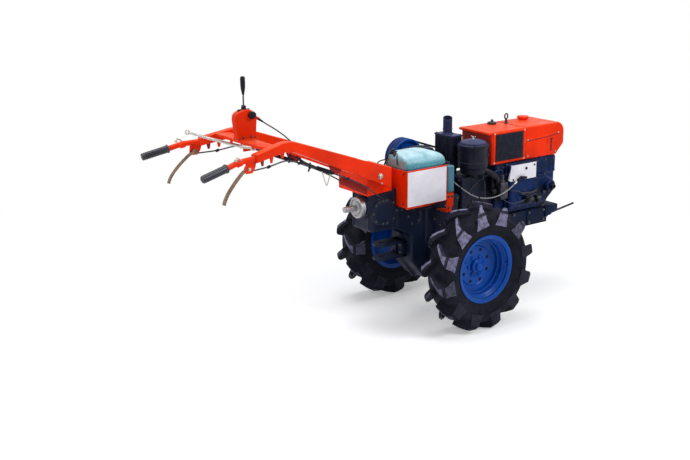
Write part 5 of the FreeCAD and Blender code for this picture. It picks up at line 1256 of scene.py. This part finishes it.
# ---------------------------------------------------------------------------------------
# Hood
# ---------------------------------------------------------------------------------------
def hood_pieces():
    hood = Shape()
    nose = [(790, 912), (806, 905), (820, 893), (829, 878), (832, 862)]
    hood.prism([(300, 738), (540, 738), (540, 911.5), (300, 911.5)],
               -HOOD_FACE, HOOD_FACE, "y", 10, 4)
    hood.prism([(543, 738), (774, 738), (782, 744), (826, 788), (832, 800), *reversed(nose),
                (543, 912)], -HOOD_FACE, HOOD_FACE, "y", 13, 4)
    hood.block((536, -114, 742), (548, 114, 908), 3)
    hood.block((277, -115, 898), (318, 115, 912), 6, 3)
    for sign in (-1, 1):
        face = sign * HOOD_FACE
        low, high = sorted((face, face + sign * 4))
        for z, tall in ((744, 9), (899, 6)):
            hood.block((308, low, z), (534, high, z + tall), 1.6)
        for x, wide in ((308, 14), (523, 11)):
            hood.block((x, low, 746), (x + wide, high, 904), 1.6)
        hood.rod([(556, face, 842), (600, face + sign * 2, 844), (700, face + sign * 2, 850),
                  (790, face, 858)], 4.2, 10, 5, 0.6)
        slot = sorted((face, face + sign * 1.8))
        hood.block((706, slot[0], 752), (716, slot[1], 838), 0.8)
    hood.piece("tank_and_radiator_hood", ORANGE, "hood")

    grille = Shape()
    grille.block((326, -121, 756), (520, -116, 896), 1.4)
    for i in range(22):
        x = 334 + i * 8.2
        grille.block((x, -122, 762), (x + 2.4, -120, 890), 0.5)
    for z in (793, 828, 863):
        grille.block((330, -122, z), (516, -120, z + 2.6), 0.5)
    grille.piece("radiator_guard", BLACK_PAINT, "radiator_grille", slot="black_plastic")

    # Dark strip for the tank slot, small dark marks near the lower edge, and a dark line under
    # the side crease that is a painted shadow
    dark = Shape()
    dark.block((731, -118.6, 762), (737, -116, 828), 0.8)
    dark.block((728, -119, 824), (741, -116, 832), 1)
    for x, z in ((700, 740), (640, 742)):
        dark.block((x, -117.5, z), (x + 8, -116, z + 5), 0.6)
    dark.rod([(556, -116.6, 836), (600, -118, 838), (700, -118, 844), (790, -116.6, 852)], 1.6,
             8)
    dark.piece("tank_slot_and_crease_shadow", BLACK_PAINT, slot="orange_paint")
    # Dark red sheet over the hood's rear face, with two ridges: painted shade
    back = Shape()
    back.block((296.5, -104, 748), (301, 104, 896))
    back.rod([(297, -90, 820), (296, 0, 822), (297, 90, 820)], 3, 8)
    back.rod([(297, -90, 780), (296, 0, 782), (297, 90, 780)], 3, 8)
    back.piece("hood_rear_shade_panel", SHADED_ORANGE)

    screws = Shape()
    for x, z in product((315, 528), (750, 902)):
        screws.drum((x, -120, z), "-y", 4.6, 2.6, 1, 16)
    for x, z in ((558, 842), (786, 857), (560, 756), (770, 756)):
        screws.drum((x, -116.5, z), "-y", 4.2, 3, 1, 16)
    screws.piece("hood_screws", ZINC)

    caps = Shape()
    caps.lathe([(0, 908), (20, 908), (20, 915), (24, 916), (25, 919), (24, 923), (14, 925),
                (8, 927), (7, 930), (7.5, 934), (5, 937), (0, 937)], (470, 66, 0), "z", 40)
    caps.rod([(452, 66, 919), (440, 66, 917)], 4, 8, 0)
    caps.rod([(488, 66, 919), (500, 66, 917)], 4, 8, 0)
    filler = Shape()
    filler.lathe([(0, 908), (25, 908), (26, 917), (31, 919), (32, 921), (32, 929), (30, 931),
                  (12, 932), (0, 932)], (697, 64, 0), "z", 40)
    filler.piece("fuel_filler_cap", ORANGE)
    caps.rod([(552, 44, 906), (552, 44, 931)], 7, 12, 0)
    caps.rod([(552 + 11 * math.sin(a), 44, 948 - 14 * math.cos(a)) for a in
              (2 * math.pi * i / 20 for i in range(21))], 4, 10, 0)
    caps.drum((552, 44, 911), "z", 13, 4, 1, 6)
    caps.piece("hood_caps_and_eye", DULL_STEEL, "hood_fittings")


hood_pieces()


# ---------------------------------------------------------------------------------------
# Battery carrier
# ---------------------------------------------------------------------------------------
def plan(low, high, radius, steps=6):
    """Rectangle with rounded corners, from its lowest to its highest corner."""
    points = []
    for x, y, start in ((high[0] - radius, high[1] - radius, 0),
                        (low[0] + radius, high[1] - radius, math.pi / 2),
                        (low[0] + radius, low[1] + radius, math.pi),
                        (high[0] - radius, low[1] + radius, 1.5 * math.pi)):
        points += circle(x, y, radius, steps, start, math.pi / 2, 1)
    return points


def battery_pieces():
    box = Shape()
    box.block((-298, -163, 616), (-42, 18, 619), 1)
    for low, high in (((-298, -163), (-42, -160)), ((-298, 15), (-42, 18)),
                      ((-298, -163), (-295, 18)), ((-45, -163), (-42, 18))):
        box.block((*low, 616), (*high, 800), 1)
    box.rod([(-297, -162, 798.5), (-43, -162, 798.5), (-43, 17, 798.5), (-297, 17, 798.5),
             (-297, -162, 798.5)], 2.6, 8, 0)
    box.prism([(-298, 616), (-42, 616), (-42, 620), (-120, 614), (-190, 611), (-250, 613),
               (-298, 612)], -164.5, -160, "y", 0.8)
    box.piece("battery_tray", ORANGE, "battery_box")
    for x, y, z in ((-299, -140, 784), (-299, -10, 784), (-299, -140, 636)):
        bolts().bolt((x, y, z), "-x", 4)

    cell = Shape()
    cell.prism(plan((-290, -155), (-50, 10), 22), 619, 822, "z", 3)
    cell.piece("battery_case", TEAL_DARK, "battery")
    lid = Shape()
    # Height, and how far the front, the sides and the rear have drawn in there
    lid.loft([[(*spot, z) for spot in plan((-293 + rear, -158 + side),
                                           (-40 - front, 13 - side / 5), 22)]
              for z, front, side, rear in (
                  (806, 3, 3, 3), (808, 0, 0, 0), (824, 0, 0, 0), (838, 4, 5, 1),
                  (850, 12, 13, 3), (859, 25, 24, 7), (866, 43, 38, 13), (870, 64, 52, 22),
                  (871.5, 84, 66, 34))])
    lid.piece("battery_lid", TEAL)
    back = Shape()
    back.block((-294, -146, 804), (-288, 0, 846))
    back.piece("battery_rear_face", WORN_PALE)
    posts = Shape()
    posts.lathe([(0, 866), (11, 866), (10, 884), (8, 886), (0, 886)], (-270, -20, 0), "z", 24)
    posts.block((-284, -40, 846), (-258, -6, 878), 3)
    posts.rod([(-284, -22, 872), (-296, -18, 862), (-303, -8, 830), (-306, 6, 800)], 4)
    posts.piece("battery_terminals", BLACK)
    clamp = Shape()
    clamp.block((-288, -60, 848), (-272, -42, 872))
    clamp.rod([(-286, -74, 868), (-296, -84, 856), (-299, -92, 820)], 3, 8)
    clamp.piece("battery_clamp", DULL_STEEL)

    bracket = Shape()
    bracket.block((-44, -163, 651), (2, -83, 656), 1.5)
    bracket.prism([(-42, 556), (-14, 556), (2, 592), (2, 656), (-42, 656)], -163, -158, "y",
                  1.5)
    bracket.prism([(-42, 556), (-6, 556), (-6, 561), (-42, 561)], -163, -90, "y", 1.5)
    bracket.piece("bottle_bracket", ORANGE, "battery_bracket")
    for x, z in ((-30, 580), (-30, 636), (-8, 636)):
        bolts().bolt((x, -163, z), "-y", 5)
    bottle = Shape()
    bottle.prism(plan((-36, -161), (12, -85), 12), 656, 788, "z", 6, 3)
    bottle.lathe([(0, 782), (20, 782), (17, 790), (14, 792), (14, 796), (0, 796)],
                 (-12, -123, 0), "z", 32)
    bottle.piece("coolant_flask", TEAL_DARK, "coolant_bottle")
    Shape().drum((-12, -123, 794), "z", 16, 12, 2, 20).piece("flask_cap", BLACK)


battery_pieces()


# ---------------------------------------------------------------------------------------
# Handlebar
# ---------------------------------------------------------------------------------------
SPLAY = math.radians(8.6)


def gap_half(reach):
    """Half the distance between the arms' inner faces."""
    return 100 + (reach - 380) * math.tan(SPLAY) - 0.3


def bend_line(before, corner, after, radius, steps=10):
    """Round one corner of an outline."""
    a, b, c = Vector(before), Vector(corner), Vector(after)
    back, onward = (a - b).normalized(), (c - b).normalized()
    half = back.angle(onward) / 2
    reach = radius / math.tan(half)
    centre = b + (back + onward).normalized() * (radius / math.sin(half))
    first, last = b + back * reach - centre, b + onward * reach - centre
    turn = first.angle_signed(last)
    return [tuple(centre + Matrix.Rotation(-turn * i / steps, 2) @ first)
            for i in range(steps + 1)]


def arm_pieces(side):
    sign = mirrored(side)
    turn = Matrix.Translation((-380, sign * 100, 0)) @ Matrix.Rotation(-sign * SPLAY, 4, "Z")
    arm = Shape(turn)
    top = bend_line((0, 828), (-635, 1050), (-820, 1015), 160)
    low = bend_line((-820, 979), (-635, 1006), (0, 732), 160)
    span = sorted((0, sign * 40))
    arm.prism([(0, 828), *top, (-820, 1015), (-820, 979), *low, (0, 732)], *span, "y", 4.5, 3)
    plate = pair(sign, 18, 22)
    arm.prism([(-856, 990), (-865, 984), (-870, 944), (-865, 938), (-832, 937), (-816, 958),
               (-806, 992)], sign * 20 - 3, sign * 20 + 3, "y", 1.5)
    for x, deep in ((-712, 34), (-650, 22)):
        arm.prism([(x, 996), (x - 24, 998), (x - 18, 996 - deep), (x - 8, 996 - deep)], *plate,
                  "y", 1)
    arm.drum((-848, sign * 20, 956), (0, -sign, 0), 5, 20, 1, 16)
    start = Vector((-820, sign * 20, 997))
    elbow = start + Vector((-80, 0, -4))
    end = elbow + Vector((-188.3, 0, -40))
    arm.rod([start + Vector((30, 0, 3)), start, elbow, elbow * 0.7 + end * 0.3, end], 12.5, 20, 5)
    arm.drum(elbow + Vector((12, 0, 0)), (-1, 0, -0.2), 15.5, 26, 2, 24)
    arm.piece(side + "_box_arm", ORANGE, side + "_handle_arm")

    # Guides in shaded orange: painted shade
    guide = Shape(turn)
    guide.prism([(-300, 872), (-396, 914), (-378, 870), (-352, 852), (-330, 848)], *plate, "y",
                1)
    guide.prism([(-764, 992), (-788, 992), (-780, 958), (-770, 958)], *plate, "y", 1)
    guide.piece(side + "_rod_guide", SHADED_ORANGE)

    small = Shape(turn)
    small.bolt((-76, sign * 40, 798), (0, sign, 0), 11)
    small.bolt((-64, sign * 40, 762), (0, sign, 0), 4)
    small.bolt((-848, sign * 23, 956), (0, sign, 0), 6)
    small.rod([elbow + Vector((4, sign * 8, 8)), elbow + Vector((-6, sign * 12, 18)),
               elbow + Vector((-22, sign * 12, 24))], 3.5, 8)
    small.drum(elbow + Vector((-26, sign * 6, 14)), (0, sign, 0), 6, 10, 1, 12)
    small.piece(side + "_arm_bolts", ZINC)

    along = (end - elbow).normalized()
    sleeve = Shape(turn @ Matrix.Translation(end - along * 124) @ aim(along))
    profile = [(12.8, 0), (19, 0), (20, 2), (20, 5), (17.5, 7)]
    for i in range(14):
        z = 9 + i * 7.8
        profile += [(17.2, z), (17.2, z + 4.6), (15.8, z + 5.4), (15.8, z + 7)]
    sleeve.lathe(profile + [(17, 121), (16.5, 125), (13, 128), (0, 128.3), (0, 124), (12.8, 124)],
                 (0, 0, 0), "z", 28)
    sleeve.piece(side + "_ribbed_grip", GRIP, *["handle_grips"] if side == "left" else [])

    lever = Shape(turn)
    px, pz = -848, 956
    line = [(2, 0), (-24, -12), (-52, -34), (-80, -60), (-104, -86), (-122, -112), (-131, -134)]
    lever.rod([(px + x, sign * 7.5, pz + z) for x, z in line], 7, 14, 6, 1.4)
    lever.drum((px, sign * 7.5 - 10, pz), "y", 12, 20, 1.5, 28, hole=5.2)
    lever.piece(side + "_squeeze_lever", LEVER, side + "_turning_lever",
                body=side + "_turning_lever_body")


def rod_pieces():
    """Steering rods under the arms, with the spring and clips on each."""
    rods, black, pale = Shape(), Shape(), Shape()
    for side in SIDES:
        sign = mirrored(side)

        def under(reach, z, outward=0.0):
            return Vector((-reach, sign * (114.56 + (reach - 380) * math.tan(SPLAY) + outward),
                           z))

        line = [under(1197, 945), under(1105, 948), under(1010, 958), under(930, 936),
                under(830, 895), under(700, 842), under(590, 792), under(505, 744, -4),
                Vector((-426, sign * 118, 688)), Vector((-400, sign * 88, 680))]
        rods.rod(line, 3.4, 12)
        first, last = under(834, 899), under(728, 856)
        axis = (last - first).normalized()
        side_way = axis.cross(AXES["z"]).normalized()
        other = axis.cross(side_way)
        coil = []
        for i in range(201):
            angle = 2 * math.pi * i / 10
            coil.append(first + axis * (5 + i * 0.52) + (side_way * math.cos(angle)
                                                         + other * math.sin(angle)) * 8)
        black.rod(coil, 2.2, 6, 0)
        black.drum(first, axis, 7, (last - first).length, 1, 20)
        black.rod([under(948, 966), under(905, 934), under(860, 912), under(836, 900)], 6, 10, 4)
        for reach, z in ((985, 976), (872, 918)):
            spot = under(reach, z)
            black.rod([spot + Vector((4, 0, 10)), spot, spot + Vector((-3, 0, -18)),
                       spot + Vector((-8, 0, -30))], 3.6, 8, 4, 1.2)
        for reach, z in ((1105, 948), (930, 936), (640, 815)):
            black.drum(under(reach, z) + Vector((-9, 0, -3)), (1, 0, 0.3), 6.5, 18, 2, 16)
    pale.rod([under(800, 878), under(785, 835), under(772, 806), under(760, 830),
              under(745, 862)], 2.6, 8, 4)
    pale.piece("linkage_return_springs", ZINC)
    rods.piece("steering_linkage", DULL_STEEL, "steering_rods")
    black.piece("linkage_springs_and_clips", RUBBER)


def handle_pieces():
    for side in SIDES:
        arm_pieces(side)
    base = Shape()
    base.prism([(-500, -gap_half(500)), (-500, gap_half(500)), (-332, gap_half(332)),
                (-332, -gap_half(332))], 700, 818, "z", 5, 3)
    base.piece("handle_root_box", ORANGE, "handle_base")
    # Stay in shaded orange: painted shade
    stay = Shape(Matrix.Translation((-380, -100, 0)) @ Matrix.Rotation(SPLAY, 4, "Z"))
    stay.prism([(-100, 706), (-120, 706), (-300, 794), (-300, 816), (-276, 828), (-100, 740)],
               1.3, 9.3, "y", 1.2)
    stay.piece("right_stay", SHADED_ORANGE)
    for x, y in ((-460, -70), (-460, 70), (-372, -60), (-372, 60)):
        bolts().bolt((x, y, 818), "z")

    brace = Shape()
    rear, front = 1122, 1056
    brace.prism([(-rear, -gap_half(rear)), (-rear, gap_half(rear)), (-front, gap_half(front)),
                 (-front, -gap_half(front))], 1028, 1032, "z", 1.2)
    for reach in (rear - 3, front + 1):
        brace.prism([(-reach - 2, -gap_half(reach)), (-reach - 2, gap_half(reach)),
                     (-reach + 2, gap_half(reach)), (-reach + 2, -gap_half(reach))], 1018, 1030,
                    "z", 1.2)
    brace.block((-1058, 66, 960), (-1004, 72, 1032), 1.5)
    brace.drum((-1018, 67, 976), "-y", 7, 26, 1, 20)
    brace.piece("column_brace", ORANGE, "cross_brace")

    column = Shape()
    column.prism([(-1132, 1032), (-1142, 1126), (-1139, 1142), (-1130, 1153), (-1112, 1161),
                  (-1098, 1165), (-1084, 1166), (-1070, 1165), (-1054, 1158), (-1040, 1146),
                  (-1032, 1128), (-1040, 1032)], -20, 20, "y", 7, 4)
    column.block((-1138, -26, 1031), (-1034, 26, 1036), 1.5)
    first, second = (Vector(point) for point in CABLE_POINTS[:2])
    along = (second - first).normalized()
    column.drum(first - along * 22, along, 6.4, 22, 1, 20)
    column.piece("rounded_column", ORANGE, "control_column")
    gate = Shape()
    gate.block((-1118, -5, 1158), (-1060, 5, 1166.4), 1)
    for y in (-11.5, 7.5):
        gate.prism([(-1095, 1156), (-1081, 1156), (-1082, 1180), (-1085, 1183),
                    (-1091, 1183), (-1094, 1180)], y, y + 4, "y", 1)
    gate.drum((-1088, -11.5, 1178), "y", 4, 23, 0.8, 16)
    gate.drum((-1062, -20, 1140), "-y", 5, 14, 0.8, 16)
    gate.piece("column_gate", BLACK_PAINT, slot="black_plastic")
    for x, y in product((-1128, -1044), (-23, 23)):
        bolts().bolt((x, y, 1036), "z", 3.5)
    for x in (-1106, -1066):
        bolts().bolt((x, -20, 1044), "-y", 4.5)

    lever = Shape()
    lever.drum((-1088, -7, 1178), "y", 7, 14, 1.2, 24, hole=4.2)
    lever.rod([(-1088, 0, 1184), (-1088, 0, 1210), (-1087, 0, 1236)], 3.6, 12)
    lever.piece("gear_shift_rod", DULL_STEEL, "shift_lever", body="shift_lever_body")
    knob = Shape()
    knob.lathe([(0, 1230), (5.2, 1230), (6.2, 1238), (9, 1250), (10.4, 1262), (11, 1276),
                (11, 1300), (9.8, 1307.5), (5, 1310), (0, 1310)], (-1088, 0, 0), "z", 28)
    knob.piece("gear_shift_grip", BLACK, "shift_knob", body="shift_lever_body")

    throttle = Shape()
    outline = []
    for i in range(48):
        angle = 2 * math.pi * i / 48
        radius = 17 - (1.3 if i % 4 in (2, 3) else 0)
        outline.append((-1062 + radius * math.cos(angle), 1140 + radius * math.sin(angle)))
    throttle.prism(outline, -36.4, -21, "y", 1)
    throttle.prism([(-1070, 1137), (-1054, 1137), (-1054, 1143), (-1070, 1143)], -38.4, -34,
                   "y", 1)
    throttle.piece("knurled_throttle", BLACK, "throttle_knob", body="throttle_knob_body")

    clutch = Shape()
    clutch.drum((-1018, 45.5, 976), "y", 14, 20, 1.5, 28, hole=7.4)
    clutch.rod([(-1022, 55.5, 978), (-1078, 55.5, 990), (-1188, 55.5, 1028),
                (-1270, 55.5, 1058), (-1334, 55.5, 1083)], 7.2, 14, 6, 1.1,
               lambda t: 1.2 - 0.5 * t)
    clutch.rod([(-1334 + 9 * math.cos(a) - 6, 55.5, 1085 + 9 * math.sin(a)) for a in
                (2 * math.pi * i / 16 - 0.5 for i in range(17))], 3, 8, 0)
    clutch.piece("main_clutch_lever", ZINC, "clutch_lever", body="clutch_lever_body")


handle_pieces()
rod_pieces()

for body, shape in fasteners.items():
    shape.piece(body + "_fasteners", DULL_STEEL, body=body)
